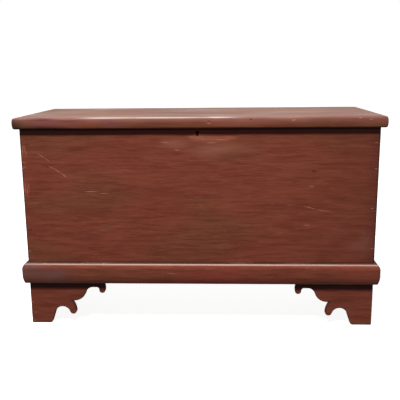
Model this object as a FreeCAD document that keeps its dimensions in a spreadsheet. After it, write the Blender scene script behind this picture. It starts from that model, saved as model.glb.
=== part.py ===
import FreeCAD, Part
import math
import os
from types import SimpleNamespace

import Sketcher

# Painted pine blanket chest: a dovetailed case on scroll-cut bracket feet, with a base moulding, a hinged lid
# with a lip moulding, a till at the left end and an iron lock in the front.
#
# Millimetres. +Z is up, +X is to the right of someone who faces the chest, and the front faces -Y. The origin
# is on the floor, under the middle of the closed chest's bounding box.

doc = FreeCAD.newDocument("blanket_chest")

# ---------------------------------------------------------------------------------------------------------
# Driving sizes. Each one is a cell of the sheet, named by its alias.
# ---------------------------------------------------------------------------------------------------------
SIZES = [
    # the case
    ("case_length", 1082, "outside length of the dovetailed case"),
    ("case_depth", 435, "outside depth of the case, front face to back face"),
    ("case_height", 475, "height of the case boards"),
    ("board", 25, "thickness of the four case boards"),
    ("tail_count", 7, "tails in each corner"),
    ("pin_width", 18, "width of a pin at the middle of the board's thickness"),
    ("dovetail_slope", 6, "run of a dovetail's side for one of rise"),
    ("bottom_thick", 22, "thickness of the bottom boards"),
    ("bottom_gap", 1, "shrinkage gap between two bottom boards"),
    # the base moulding
    ("base_height", 68, "height of the base moulding"),
    ("base_thick", 17, "how far the base moulding stands out from the case"),
    ("base_round", 22, "radius of the moulding's upper edge, which runs up to the case"),
    ("base_waist", 28, "height at which the moulding starts to tuck in towards its foot"),
    ("base_tuck_radius", 75, "radius of that tuck"),
    # the lid
    ("lid_thick", 22, "thickness of the lid board"),
    ("lip_height", 34, "height of the lip moulding round the lid"),
    ("lip_thick", 15, "thickness of the lip moulding"),
    ("lip_gap", 2, "clearance between the lip and the case"),
    ("lip_bow", 70, "radius of the lip's slightly bowed face"),
    ("lip_top_round", 7, "radius of the lip's upper edge"),
    ("lip_bottom_round", 6, "radius of the lip's lower edge"),
    # the bracket feet; the scroll is drawn from the bracket's outer bottom corner
    ("foot_height", 139, "height of the feet, floor to the bottom boards"),
    ("bracket_thick", 16, "thickness of the bracket boards"),
    ("bracket_width", 236.706, "width of a scroll-cut front bracket at its top"),
    ("toe_width", 55.5, "flat bottom of a bracket"),
    ("toe_radius", 12.2, "rounded inner corner of the flat bottom"),
    ("low_arch_x", 101, "centre of the low arch"),
    ("low_arch_z", 32.2, "centre of the low arch"),
    ("low_arch_radius", 24.4, "radius of the low arch"),
    ("low_lobe_z", 42.2, "centre of the low lobe's round tip"),
    ("low_lobe_radius", 10.9, "radius of the low lobe's round tip"),
    ("low_flank_radius", 62, "radius of the low lobe's outer side"),
    ("cusp_x", 132, "sharp notch between the low lobe and the ogee"),
    ("cusp_z", 77.6, "sharp notch between the low lobe and the ogee"),
    ("ogee_x", 141, "centre of the ogee's belly"),
    ("ogee_radius", 40, "radius of the ogee's belly"),
    ("high_arch_z", 97.8, "centre of the high arch's left half"),
    ("high_arch_radius", 23.9, "radius of the high arch's left half"),
    ("high_arch_flat", 11.3, "flat top of the high arch"),
    ("high_turn_radius", 8.3, "radius of the high arch's right half"),
    ("high_lobe_z", 112.2, "centre of the high lobe's round tip"),
    ("high_lobe_radius", 9.8, "radius of the high lobe's round tip"),
    ("high_flank_radius", 41.5, "radius of the high lobe's outer side"),
    ("back_bracket_width", 120, "width of a plain back bracket at its top"),
    ("back_bracket_leg", 52, "width of its leg"),
    ("block_width", 32, "side of the square glue block inside each foot"),
    ("block_lift", 8, "how far the block stops short of the floor"),
    # the till at the left end
    ("till_drop", 55, "from the rim down to the top of the till lid"),
    ("till_reach", 125, "from the till lid's pivot to its free edge"),
    ("till_overhang", 4, "how far the till lid runs past the till front"),
    ("till_board", 10, "thickness of the till's three boards"),
    ("till_height", 120, "height of the till front"),
    ("till_groove", 6, "depth of the grooves that hold the till"),
    ("till_pivot_gap", 2.5, "clearance between the till lid's round edge and the end board"),
    ("till_side_gap", 1, "clearance at each end of the till lid"),
    ("pintle_radius", 4, "radius of the till lid's wooden pintles"),
    ("pintle_fit", 0.08, "radial clearance of a pintle in its hole"),
    ("pintle_length", 9, "length of a pintle"),
    # the strap hinges
    ("hinge_inset", 161, "from the end of the case to the middle of a hinge"),
    ("hinge_width", 45, "width of a strap at its knuckles"),
    ("strap_thick", 3, "thickness of the strap iron"),
    ("strap_tail", 24, "width of a strap at its far end"),
    ("finial_radius", 16, "radius of the round end of a strap"),
    ("lid_strap_length", 250, "hinge axis to the centre of the lid strap's round end"),
    ("back_strap_length", 190, "hinge axis to the centre of the back strap's round end"),
    ("hinge_pin_radius", 2.5, "radius of a hinge pin"),
    ("hinge_pin_fit", 0.05, "radial clearance of the pin in the knuckles"),
    ("pin_head_radius", 4, "radius of a hinge pin's riveted heads"),
    ("pin_head_height", 1.5, "height of a riveted head"),
    ("hinge_play", 0.4, "gap between two knuckles"),
    ("hinge_clear", 0.4, "gap between the knuckles and the case"),
    # the lock
    ("lock_x", -2, "middle of the keyhole, left of the chest's middle"),
    ("keyhole_drop", 24.5, "from the rim down to the middle of the keyhole's round"),
    ("keyhole_radius", 5, "radius of the keyhole's round"),
    ("key_slot_width", 5, "width of the slot below the round"),
    ("key_slot_length", 11, "from the middle of the round to the bottom of the slot"),
    ("plate_width", 84, "width of the lock plate"),
    ("plate_height", 58, "height of the lock plate"),
    ("plate_thick", 2, "thickness of the lock plate and its selvage"),
    ("works_width", 60, "width of the lock case"),
    ("works_height", 50, "height of the mortise for the lock case"),
    ("works_depth", 12, "depth of the lock case"),
    ("works_wall", 1.5, "thickness of the lock case"),
    ("post_radius", 1.5, "radius of the key post"),
    ("bolt_length", 36, "length of the lock bolt"),
    ("bolt_height", 9, "height of the lock bolt"),
    ("bolt_drop", 13, "from the rim down to the middle of the bolt"),
    ("bolt_fit", 0.3, "running gap round the bolt"),
    ("bolt_tip_length", 12, "length of the bolt's narrow tip"),
    ("bolt_tip_height", 5, "height of that tip"),
    ("bolt_tip_thick", 2.5, "thickness of that tip"),
    ("talon_width", 7, "notch in the bolt that the key pushes"),
    ("talon_depth", 3, "depth of that notch"),
    ("guide_length", 6, "length of the step that the bolt slides on"),
    ("guide_height", 3, "height of that step"),
    ("spring_thick", 0.8, "thickness of the leaf spring on the bolt"),
    ("spring_width", 5, "width of that spring"),
    ("eye_thick", 3, "thickness of the keeper's eye"),
    ("eye_depth", 8, "width of the keeper's eye, front to back"),
    ("eye_wall", 3.2, "iron below the keeper's hole"),
    ("eye_fit", 1, "gap round the eye and round the bolt tip in it"),
    ("keeper_length", 46, "length of the keeper plate"),
    ("keeper_width", 12, "width of the keeper plate"),
    # nails
    ("brad_radius", 1.5, "radius of the brads in the mouldings"),
    ("brad_length", 34, "length of those brads"),
    ("brad_inset", 41, "from the case's corner to the first brad"),
    ("lip_brad_rise", 9, "from the lid's underside up to the lip's brads"),
    ("front_brads", 9, "brads in a front moulding"),
    ("side_brads", 4, "brads in a side moulding"),
    ("nail_radius", 1.8, "radius of the cut nails"),
    ("bottom_nail_length", 55, "length of the nails through the bottom boards"),
    ("foot_nail_length", 45, "length of the nails through the feet"),
    ("foot_nail_step", 11, "how far a foot's side nails stand above its front nails"),
    ("strap_nail_length", 18, "length of the strap nails in the wood"),
    ("lock_nail_length", 9, "length of the lock's and the keeper's nails in the wood"),
    ("lock_nail_radius", 1.2, "radius of the lock's and the keeper's nails"),
    ("rose_head_radius", 4.2, "radius of a strap nail's hammered head"),
    ("rose_head_height", 1.6, "height of that head"),
    ("rose_head_crown", 1.4, "radius of the head's top"),
    ("nail_fit", 0.05, "radial clearance of a nail in its hole"),
]

sheet = doc.addObject("Spreadsheet::Sheet", "sheet")
for row, (alias, number, meaning) in enumerate(SIZES, start=1):
    sheet.set(f"A{row}", meaning)
    sheet.set(f"B{row}", str(number))
    sheet.setAlias(f"B{row}", alias)
doc.recompute()


class Length:
    """A number together with the sheet formula that it comes from."""

    def __init__(self, formula, value):
        self.formula = formula
        self.value = value

    def joined(self, sign, other, value):
        return Length(f"({self.formula} {sign} {other.formula})", value)

    def __add__(self, other):
        other = as_length(other)
        return self.joined("+", other, self.value + other.value)

    def __sub__(self, other):
        other = as_length(other)
        return self.joined("-", other, self.value - other.value)

    def __mul__(self, other):
        other = as_length(other)
        return self.joined("*", other, self.value * other.value)

    def __truediv__(self, other):
        other = as_length(other)
        return self.joined("/", other, self.value / other.value)

    def __neg__(self):
        return as_length(0) - self

    def root(self):
        return Length(f"sqrt({self.formula})", math.sqrt(self.value))


def as_length(number):
    return number if isinstance(number, Length) else Length(str(number), number)


size = SimpleNamespace(**{alias: Length(f"sheet.{alias}", number) for alias, number, _ in SIZES})


def bind(feature, prop, length):
    feature.setExpression(prop, as_length(length).formula)


# ---------------------------------------------------------------------------------------------------------
# Levels and planes that several pieces share.
# ---------------------------------------------------------------------------------------------------------
ZERO = as_length(0)
lip_reach = size.lip_gap + size.lip_thick
hinge_reach = size.hinge_clear + (size.hinge_pin_radius + size.strap_thick) * 2
front = (lip_reach - size.case_depth - hinge_reach) / 2
back = front + size.case_depth
right = size.case_length / 2
left = -right
front_inside = front + size.board
back_inside = back - size.board
right_inside = right - size.board
left_inside = left + size.board
case_floor = size.foot_height + size.bottom_thick
rim = case_floor + size.case_height
lid_top = rim + size.lid_thick
lip_bottom = lid_top - size.lip_height
hinge_y = back + size.hinge_clear + size.hinge_pin_radius + size.strap_thick
hinge_z = rim - size.hinge_pin_radius


# ---------------------------------------------------------------------------------------------------------
# Ways of making a piece.
# ---------------------------------------------------------------------------------------------------------
parts = {}


def keep(piece, node):
    """Enter a finished piece under the name of its node."""
    piece.Label = node
    parts[node] = piece
    return piece


def new_body(name):
    body = doc.addObject("PartDesign::Body", name)
    body.AllowCompound = True
    return body


def origin_of(body, role):
    return [item for item in body.Origin.OriginFeatures if item.Role == role][0]


def new_sketch(body, plane, level):
    """A sketch on one of the body's own planes, moved along that plane's axis to the given level."""
    sketch = body.newObject("Sketcher::SketchObject", "outline")
    sketch.AttachmentSupport = [(origin_of(body, plane + "_Plane"), "")]
    sketch.MapMode = "FlatFace"
    # a sketch on the XZ plane looks along +Y, so its offset counts backwards
    bind(sketch, "AttachmentOffset.Base.z", -level if plane == "XZ" else level)
    return sketch


def arc_between(start, end, radius, turn):
    """The shorter arc from start to end; turn is 1 for anticlockwise and -1 for clockwise."""
    chord = end.sub(start)
    rise = math.sqrt(max(radius * radius - chord.Length * chord.Length / 4, 0))
    side = FreeCAD.Vector(-chord.y, chord.x, 0).normalize()
    centre = start + chord * 0.5 + side * (rise * turn)
    first, last = (start, end) if turn > 0 else (end, start)
    angles = [math.atan2(point.y - centre.y, point.x - centre.x) for point in (first, last)]
    return Part.ArcOfCircle(Part.Circle(centre, FreeCAD.Vector(0, 0, 1), radius), *angles)


def hold(sketch, kind, edge, end, length):
    """Hold one point of an edge at a distance from the sketch's origin: kind is DistanceX or DistanceY."""
    index = sketch.addConstraint(Sketcher.Constraint(kind, -1, 1, edge, end, length.value))
    bind(sketch, f"Constraints[{index}]", length)


def pin_point(sketch, edge, end, x, y):
    """Hold one point of an edge at x, y."""
    hold(sketch, "DistanceX", edge, end, as_length(x))
    hold(sketch, "DistanceY", edge, end, as_length(y))


def set_radius(sketch, edge, radius):
    radius = as_length(radius)
    index = sketch.addConstraint(Sketcher.Constraint("Radius", edge, radius.value))
    bind(sketch, f"Constraints[{index}]", radius)


def draw(sketch, corners):
    """Draw a closed outline. A corner is (x, y), or (x, y, radius, turn) where an arc leads on from it."""
    places = [FreeCAD.Vector(as_length(c[0]).value, as_length(c[1]).value, 0) for c in corners]
    first_edge = sketch.GeometryCount
    ends = []
    for number, corner in enumerate(corners):
        start = places[number]
        end = places[(number + 1) % len(places)]
        if len(corner) == 4:
            sketch.addGeometry(arc_between(start, end, as_length(corner[2]).value, corner[3]))
            ends.append((1, 2) if corner[3] > 0 else (2, 1))
        else:
            sketch.addGeometry(Part.LineSegment(start, end))
            ends.append((1, 2))
    for number, corner in enumerate(corners):
        edge = first_edge + number
        following = (number + 1) % len(corners)
        join = (edge, ends[number][1], first_edge + following, ends[following][0])
        sketch.addConstraint(Sketcher.Constraint("Coincident", *join))
        pin_point(sketch, edge, ends[number][0], corner[0], corner[1])
        if len(corner) == 4:
            set_radius(sketch, edge, corner[2])


def draw_circle(sketch, x, y, radius):
    place = FreeCAD.Vector(as_length(x).value, as_length(y).value, 0)
    edge = sketch.addGeometry(Part.Circle(place, FreeCAD.Vector(0, 0, 1), as_length(radius).value))
    pin_point(sketch, edge, 3, x, y)
    set_radius(sketch, edge, radius)


def oblong(x_low, y_low, x_high, y_high):
    return [(x_low, y_low), (x_high, y_low), (x_high, y_high), (x_low, y_high)]


def extrude(body, kind, plane, shapes, low, high):
    """Pad or pocket the drawn shapes from level low up to level high along the plane's axis."""
    sketch = new_sketch(body, plane, low)
    for shape in shapes:
        if isinstance(shape, tuple):
            draw_circle(sketch, *shape)
        else:
            draw(sketch, shape)
    feature = body.newObject("PartDesign::" + kind, kind.lower())
    feature.Profile = sketch
    # a pad follows the sketch's normal and a pocket goes against it
    feature.Reversed = (plane == "XZ") == (kind == "Pad")
    bind(feature, "Length", high - low)
    return feature


def pad(body, plane, shapes, low, high):
    return extrude(body, "Pad", plane, shapes, low, high)


def pocket(body, plane, shapes, low, high):
    return extrude(body, "Pocket", plane, shapes, low, high)


def box_body(name, low, high):
    """A squared board from its lowest to its highest corner."""
    body = new_body(name)
    pad(body, "XY", [oblong(low[0], low[1], high[0], high[1])], low[2], high[2])
    return body


def repeat_up(body, cuts, length, count):
    """Repeat cuts evenly up the body's Z axis; the last copy is the given length above the first."""
    pattern = body.newObject("PartDesign::LinearPattern", "pattern")
    pattern.Originals = cuts
    pattern.Direction = (origin_of(body, "Z_Axis"), [""])
    bind(pattern, "Length", length)
    bind(pattern, "Occurrences", count)
    body.Tip = pattern


TURNS = {
    "+X": FreeCAD.Rotation(FreeCAD.Vector(0, 1, 0), 90),
    "-X": FreeCAD.Rotation(FreeCAD.Vector(0, 1, 0), -90),
    "+Y": FreeCAD.Rotation(FreeCAD.Vector(1, 0, 0), -90),
    "-Y": FreeCAD.Rotation(FreeCAD.Vector(1, 0, 0), 90),
    "+Z": FreeCAD.Rotation(),
    "-Z": FreeCAD.Rotation(FreeCAD.Vector(1, 0, 0), 180),
}
OPPOSITE = {"+X": "-X", "-X": "+X", "+Y": "-Y", "-Y": "+Y", "+Z": "-Z", "-Z": "+Z"}


def lay(feature, spot, direction):
    """Put a primitive at a spot, with its own Z axis along the given direction."""
    feature.Placement = FreeCAD.Placement(FreeCAD.Vector(), TURNS[direction])
    for axis, length in zip("xyz", spot):
        bind(feature, f"Placement.Base.{axis}", length)
    return feature


def cylinder(spot, direction, radius, length):
    feature = doc.addObject("Part::Cylinder", "cylinder")
    bind(feature, "Radius", radius)
    bind(feature, "Height", length)
    return lay(feature, spot, direction)


def rose_head(spot, direction):
    """A nail's low, hammered head, which stands on the surface."""
    feature = doc.addObject("Part::Cone", "rose_head")
    bind(feature, "Radius1", size.rose_head_radius)
    bind(feature, "Radius2", size.rose_head_crown)
    bind(feature, "Height", size.rose_head_height)
    return lay(feature, spot, direction)


def compound(items):
    group = doc.addObject("Part::Compound", "group")
    group.Links = items
    return group


def nails(rows, radius, length, with_heads=False):
    """Nails from (spot, direction) rows. Returns the nails and the slightly wider holes that they sit in."""
    made = []
    holes = []
    for spot, direction in rows:
        shank = cylinder(spot, direction, radius, length)
        if with_heads:
            nail = doc.addObject("Part::Fuse", "nail")
            nail.Base = shank
            nail.Tool = rose_head(spot, OPPOSITE[direction])
            shank = nail
        made.append(shank)
        holes.append(cylinder(spot, direction, radius + size.nail_fit, length))
    return made, compound(holes)


def drilled(blank, holes, node):
    """A piece with its nail holes."""
    cut = doc.addObject("Part::Cut", node)
    cut.Base = blank
    cut.Tool = compound(holes) if len(holes) > 1 else holes[0]
    return keep(cut, node)


def spread(low, high, count, shift=0.0):
    """Places shared out evenly from low to high; a shift of a half gives the middles between them."""
    step = (high - low) / (count - 1)
    return [low + step * (number + shift) for number in range(count - (1 if shift else 0))]


# ---------------------------------------------------------------------------------------------------------
# Nails. Their holes are cut from every piece that they pass through.
# ---------------------------------------------------------------------------------------------------------
FOOT_NAIL_SHARES = (0.25, 0.75)
LID_STRAP_NAIL_SHARES = (0.19, 0.5, 1.0)
BACK_STRAP_NAIL_SHARES = (0.14, 0.5, 1.0)
LOCK_NAIL_SHARES = (0.25, 0.8)
KEEPER_NAIL_SHARES = (-0.36, 0.36)
front_brads = int(size.front_brads.value)
side_brads = int(size.side_brads.value)
brad_x = (left + size.brad_inset, right - size.brad_inset)
brad_y = (front + size.brad_inset, back - size.brad_inset)


def moulding_brads(level, reach):
    """Brads along the front and both sides of a moulding whose face stands out by reach."""
    rows = [((x, front - reach, level), "+Y") for x in spread(*brad_x, front_brads)]
    rows += [((left - reach, y, level), "+X") for y in spread(*brad_y, side_brads)]
    rows += [((right + reach, y, level), "-X") for y in spread(*brad_y, side_brads)]
    return nails(rows, size.brad_radius, size.brad_length)


base_crest = (size.base_round * size.base_thick * 2 - size.base_thick * size.base_thick).root()
base_brad_level = size.foot_height + (size.base_waist + size.base_height - base_crest) / 2
base_brads, base_brad_holes = moulding_brads(base_brad_level, size.base_thick)
keep(compound(base_brads), "base_moulding_brads")

lip_brads, lip_brad_holes = moulding_brads(rim + size.lip_brad_rise, lip_reach)
keep(compound(lip_brads), "lid_moulding_brads")

# the nails of the bottom stand between the brads, in the middle of the case boards
bottom_rows = []
for x in spread(*brad_x, front_brads, 0.5):
    bottom_rows.append(((x, front + size.board / 2, size.foot_height), "+Z"))
    bottom_rows.append(((x, back - size.board / 2, size.foot_height), "+Z"))
for y in spread(*brad_y, side_brads, 0.5):
    bottom_rows.append(((left + size.board / 2, y, size.foot_height), "+Z"))
    bottom_rows.append(((right - size.board / 2, y, size.foot_height), "+Z"))
bottom_nails, bottom_nail_holes = nails(bottom_rows, size.nail_radius, size.bottom_nail_length)
keep(compound(bottom_nails), "bottom_board_nails")

# two nails through each bracket into the glue block behind it, at other heights from the front than the side
foot_rows = []
block_middle = size.bracket_thick + size.block_width / 2
for share in FOOT_NAIL_SHARES:
    level = size.block_lift + (size.foot_height - size.block_lift) * share
    side_level = level + size.foot_nail_step
    for x in (left + block_middle, right - block_middle):
        foot_rows.append(((x, front, level), "+Y"))
        foot_rows.append(((x, back, level), "-Y"))
    for y in (front + block_middle, back - block_middle):
        foot_rows.append(((left, y, side_level), "+X"))
        foot_rows.append(((right, y, side_level), "-X"))
foot_nails, foot_nail_holes = nails(foot_rows, size.nail_radius, size.foot_nail_length)
keep(compound(foot_nails), "foot_nails")

# three nails in each strap; the lid strap's are driven up from inside, the back strap's from behind
hinge_places = (left + size.hinge_inset, right - size.hinge_inset)
lid_strap_rows = []
back_strap_rows = []
for x in hinge_places:
    for share in LID_STRAP_NAIL_SHARES:
        lid_strap_rows.append(((x, hinge_y - size.lid_strap_length * share, rim), "+Z"))
    for share in BACK_STRAP_NAIL_SHARES:
        back_strap_rows.append(((x, back + size.strap_thick, hinge_z - size.back_strap_length * share), "-Y"))
strap_reach = size.strap_nail_length + size.strap_thick / 2
lid_strap_nails, lid_strap_holes = nails(lid_strap_rows, size.nail_radius, strap_reach, True)
back_strap_nails, back_strap_holes = nails(back_strap_rows, size.nail_radius, strap_reach, True)
keep(compound(lid_strap_nails), "lid_strap_nails")
keep(compound(back_strap_nails), "back_strap_nails")

# ---------------------------------------------------------------------------------------------------------
# The case: front and back boards carry the tails, the end boards carry the pins.
# ---------------------------------------------------------------------------------------------------------
tail_pitch = size.case_height / size.tail_count
flare = size.board / size.dovetail_slope / 2
pin_narrow = (size.pin_width / 2) - flare
pin_wide = (size.pin_width / 2) + flare


def pin_outline(corner, shoulder, level):
    """A pin's end: narrow at the corner of the case, wide at the shoulder."""
    return [(corner, level - pin_narrow), (shoulder, level - pin_wide),
            (shoulder, level + pin_wide), (corner, level + pin_narrow)]


def tail_outline(corner, shoulder, level):
    """The space between the pin at this level and the next one up."""
    above = level + tail_pitch
    return [(corner, level + pin_narrow), (shoulder, level + pin_wide),
            (shoulder, above - pin_wide), (corner, above - pin_narrow)]


def long_board(name, low):
    """Front or back board, with the pins' sockets cut in both ends."""
    body = new_body(name)
    high = low + size.board
    pad(body, "XZ", [oblong(left, case_floor, right, rim)], low, high)
    pins = [pin_outline(left, left_inside, case_floor), pin_outline(right, right_inside, case_floor)]
    sockets = pocket(body, "XZ", pins, low, high)
    repeat_up(body, [sockets], size.case_height, size.tail_count + 1)
    return body


def end_board(name, corner, shoulder, low, high):
    """End board, with the tails' sockets cut in its front and back edges."""
    body = new_body(name)
    pad(body, "XY", [oblong(low, front, high, back)], case_floor, rim)
    tails = [tail_outline(corner, shoulder, case_floor)]
    at_front = pocket(body, "XZ", tails, front, front_inside)
    at_back = pocket(body, "XZ", tails, back_inside, back)
    repeat_up(body, [at_front, at_back], size.case_height - tail_pitch, size.tail_count)
    return body


front_blank = long_board("front_board_blank", front)
back_blank = long_board("back_board_blank", back_inside)
left_blank = end_board("left_end_blank", left, left_inside, left, left_inside)
right_blank = end_board("right_end_blank", right, right_inside, right_inside, right)

# keyhole through the front board, and the mortise for the lock from its inner face and the rim
keyhole_z = rim - size.keyhole_drop
key_slot = oblong(size.lock_x - size.key_slot_width / 2, keyhole_z - size.key_slot_length,
                  size.lock_x + size.key_slot_width / 2, keyhole_z)
works_front = front_inside - size.plate_thick - size.works_depth
pocket(front_blank, "XZ", [(size.lock_x, keyhole_z, size.keyhole_radius)], front, front_inside)
pocket(front_blank, "XZ", [key_slot], front, front_inside)
plate_outline = oblong(size.lock_x - size.plate_width / 2, rim - size.plate_height,
                       size.lock_x + size.plate_width / 2, rim)
works_outline = oblong(size.lock_x - size.works_width / 2, rim - size.works_height,
                       size.lock_x + size.works_width / 2, rim - size.plate_thick)
selvage_outline = oblong(size.lock_x - size.plate_width / 2, rim - size.plate_thick,
                         size.lock_x + size.plate_width / 2, rim)
pocket(front_blank, "XZ", [plate_outline], front_inside - size.plate_thick, front_inside)
pocket(front_blank, "XZ", [works_outline], works_front, front_inside)
pocket(front_blank, "XZ", [selvage_outline], works_front, front_inside)

# grooves for the till and round holes for its lid's pintles
till_top = rim - size.till_drop
till_pivot_x = left_inside + size.till_pivot_gap + size.till_board / 2
till_pivot_z = till_top - size.till_board / 2
till_edge = till_pivot_x + size.till_reach
till_front_out = till_edge - size.till_overhang
till_front_in = till_front_out - size.till_board
till_rail_top = till_top - size.till_board
till_rail_bottom = till_rail_top - size.till_height
till_floor_top = till_rail_bottom + size.till_board
pintle_hole = (till_pivot_x, till_pivot_z, size.pintle_radius + size.pintle_fit)
till_front_outline = oblong(till_front_in, till_rail_bottom, till_front_out, till_rail_top)
till_floor_outline = oblong(left_inside - size.till_groove, till_rail_bottom, till_front_in, till_floor_top)
till_floor_at_board = oblong(left_inside, till_rail_bottom, till_front_in, till_floor_top)
till_y_low = front_inside - size.till_groove
till_y_high = back_inside + size.till_groove
for blank, low, high in ((front_blank, till_y_low, front_inside), (back_blank, back_inside, till_y_high)):
    pocket(blank, "XZ", [till_front_outline], low, high)
    pocket(blank, "XZ", [till_floor_at_board], low, high)
hole_depth = size.pintle_length + size.till_side_gap
pocket(front_blank, "XZ", [pintle_hole], front_inside - hole_depth, front_inside)
pocket(back_blank, "XZ", [pintle_hole], back_inside, back_inside + hole_depth)
pocket(left_blank, "XZ", [till_floor_outline], front_inside, back_inside)

till_front = new_body("till_front")
pad(till_front, "XZ", [till_front_outline], till_y_low, till_y_high)
keep(till_front, "till_front")

till_bottom = new_body("till_bottom")
pad(till_bottom, "XZ", [till_floor_at_board], till_y_low, till_y_high)
pad(till_bottom, "XZ", [till_floor_outline], front_inside, back_inside)
keep(till_bottom, "till_bottom")

# the till lid turns in one piece with its round edge and its pintles
till_lid = new_body("till_lid")
half_board = size.till_board / 2
lid_low = front_inside + size.till_side_gap
lid_high = back_inside - size.till_side_gap
pad(till_lid, "XZ", [[
    (till_pivot_x, till_pivot_z - half_board),
    (till_edge, till_pivot_z - half_board),
    (till_edge, till_pivot_z + half_board),
    (till_pivot_x, till_pivot_z + half_board, half_board, 1),
    (till_pivot_x - half_board, till_pivot_z, half_board, 1),
]], lid_low, lid_high)
pintle = (till_pivot_x, till_pivot_z, size.pintle_radius)
pad(till_lid, "XZ", [pintle], lid_low - size.pintle_length, lid_low)
pad(till_lid, "XZ", [pintle], lid_high, lid_high + size.pintle_length)
keep(till_lid, "till_lid")

# ---------------------------------------------------------------------------------------------------------
# The bottom: three boards laid lengthwise and nailed up into the case.
# ---------------------------------------------------------------------------------------------------------
bottom_width = (size.case_depth - size.bottom_gap * 2) / 3
for number, place in enumerate(("front", "middle", "back")):
    low_y = front + (bottom_width + size.bottom_gap) * number
    blank = box_body(f"bottom_{place}_blank", (left, low_y, size.foot_height),
                     (right, low_y + bottom_width, case_floor))
    drilled(blank, [bottom_nail_holes], f"bottom_board_{place}")

# ---------------------------------------------------------------------------------------------------------
# Mouldings: a front length and two returns, mitred at the front corners and square at the back.
# ---------------------------------------------------------------------------------------------------------
tuck = size.base_tuck_radius - (size.base_tuck_radius * size.base_tuck_radius
                                - size.base_waist * size.base_waist).root()


def base_profile(face, out, bottom):
    """Base moulding's section: out is 1 or -1, the side of the face on which it stands."""
    def across(distance):
        return face + distance * out
    top = bottom + size.base_height
    return [
        (face, bottom),
        (across(size.base_thick - tuck), bottom, size.base_tuck_radius, out),
        (across(size.base_thick), bottom + size.base_waist),
        (across(size.base_thick), top - base_crest, size.base_round, out),
        (face, top),
    ]


def lip_edge(radius):
    """Where an edge's round leaves the flat end and where it meets the bow, out from the lip's back.

    The third length is how far that meeting lies from the middle of the lip's height.
    """
    bow_centre = size.lip_thick - size.lip_bow
    reach = size.lip_bow - radius
    rise = size.lip_height / 2 - radius
    run = (reach * reach - rise * rise).root()
    share = size.lip_bow / reach
    return bow_centre + run, bow_centre + run * share, rise * share


def lip_profile(face, out, bottom):
    """Lip moulding's section: a bowed face between rounded upper and lower edges."""
    def across(distance):
        return face + distance * out
    top = bottom + size.lip_height
    middle = bottom + size.lip_height / 2
    low_flat, low_touch, low_rise = lip_edge(size.lip_bottom_round)
    high_flat, high_touch, high_rise = lip_edge(size.lip_top_round)
    return [
        (face, bottom),
        (across(low_flat), bottom, size.lip_bottom_round, out),
        (across(low_touch), middle - low_rise, size.lip_bow, out),
        (across(high_touch), middle + high_rise, size.lip_top_round, out),
        (across(high_flat), top),
        (face, top),
    ]


def mitred_moulding(name, profile, thick, gap, bottom, height, holes):
    """Front length and both returns of a moulding that stands gap clear of the case."""
    face = front - gap
    reach = gap + thick
    top = bottom + height
    length = new_body(f"{name}_front_blank")
    pad(length, "YZ", [profile(face, -1, bottom)], left - reach, right + reach)
    for corner, out in ((left - reach, -1), (right + reach, 1)):
        inner = corner - thick * out
        pocket(length, "XY", [[(corner, face), (corner, face - thick), (inner, face)]], bottom, top)
    drilled(length, [holes], f"{name}_front")
    for side, at, out in (("left", left, -1), ("right", right, 1)):
        side_face = at + gap * out
        corner = side_face + thick * out
        ret = new_body(f"{name}_{side}_blank")
        pad(ret, "XZ", [profile(side_face, out, bottom)], front - reach, back)
        waste = [(side_face, face), (side_face, face - thick), (corner, face - thick)]
        pocket(ret, "XY", [waste], bottom, top)
        drilled(ret, [holes], f"{name}_{side}")


mitred_moulding("base_moulding", base_profile, size.base_thick, ZERO, size.foot_height, size.base_height,
                base_brad_holes)
mitred_moulding("lid_moulding", lip_profile, size.lip_thick, size.lip_gap, lip_bottom, size.lip_height,
                lip_brad_holes)

# ---------------------------------------------------------------------------------------------------------
# Feet: scroll-cut brackets mitred at the front corners, plain brackets at the back, and glue blocks.
# ---------------------------------------------------------------------------------------------------------


def circle_above(circle, height, radius):
    """Centre of a circle to the right that touches the given one from outside, at its own height."""
    reach = circle[2] + radius
    return (circle[0] + math.sqrt(reach * reach - (height - circle[1]) ** 2), height, radius)


def touching(first, second):
    """Where two touching circles meet, whether side by side or one inside the other."""
    gap = math.hypot(second[0] - first[0], second[1] - first[1])
    inside = gap < max(first[2], second[2])
    big, small = (first, second) if first[2] >= second[2] else (second, first)
    if inside:
        share = big[2] / gap
        return (big[0] + (small[0] - big[0]) * share, big[1] + (small[1] - big[1]) * share)
    share = first[2] / (first[2] + second[2])
    return (first[0] + (second[0] - first[0]) * share, first[1] + (second[1] - first[1]) * share)


def flank_of(lobe, radius, end):
    """Circle of a lobe's outer side: it holds the lobe's circle and passes through the end point."""
    gap = math.hypot(end[0] - lobe[0], end[1] - lobe[1])
    inner = radius - lobe[2]
    along = (gap * gap + inner * inner - radius * radius) / (2 * gap)
    aside = math.sqrt(inner * inner - along * along)
    ux = (end[0] - lobe[0]) / gap
    uy = (end[1] - lobe[1]) / gap
    return (lobe[0] + ux * along - uy * aside, lobe[1] + uy * along + ux * aside, radius)


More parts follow.
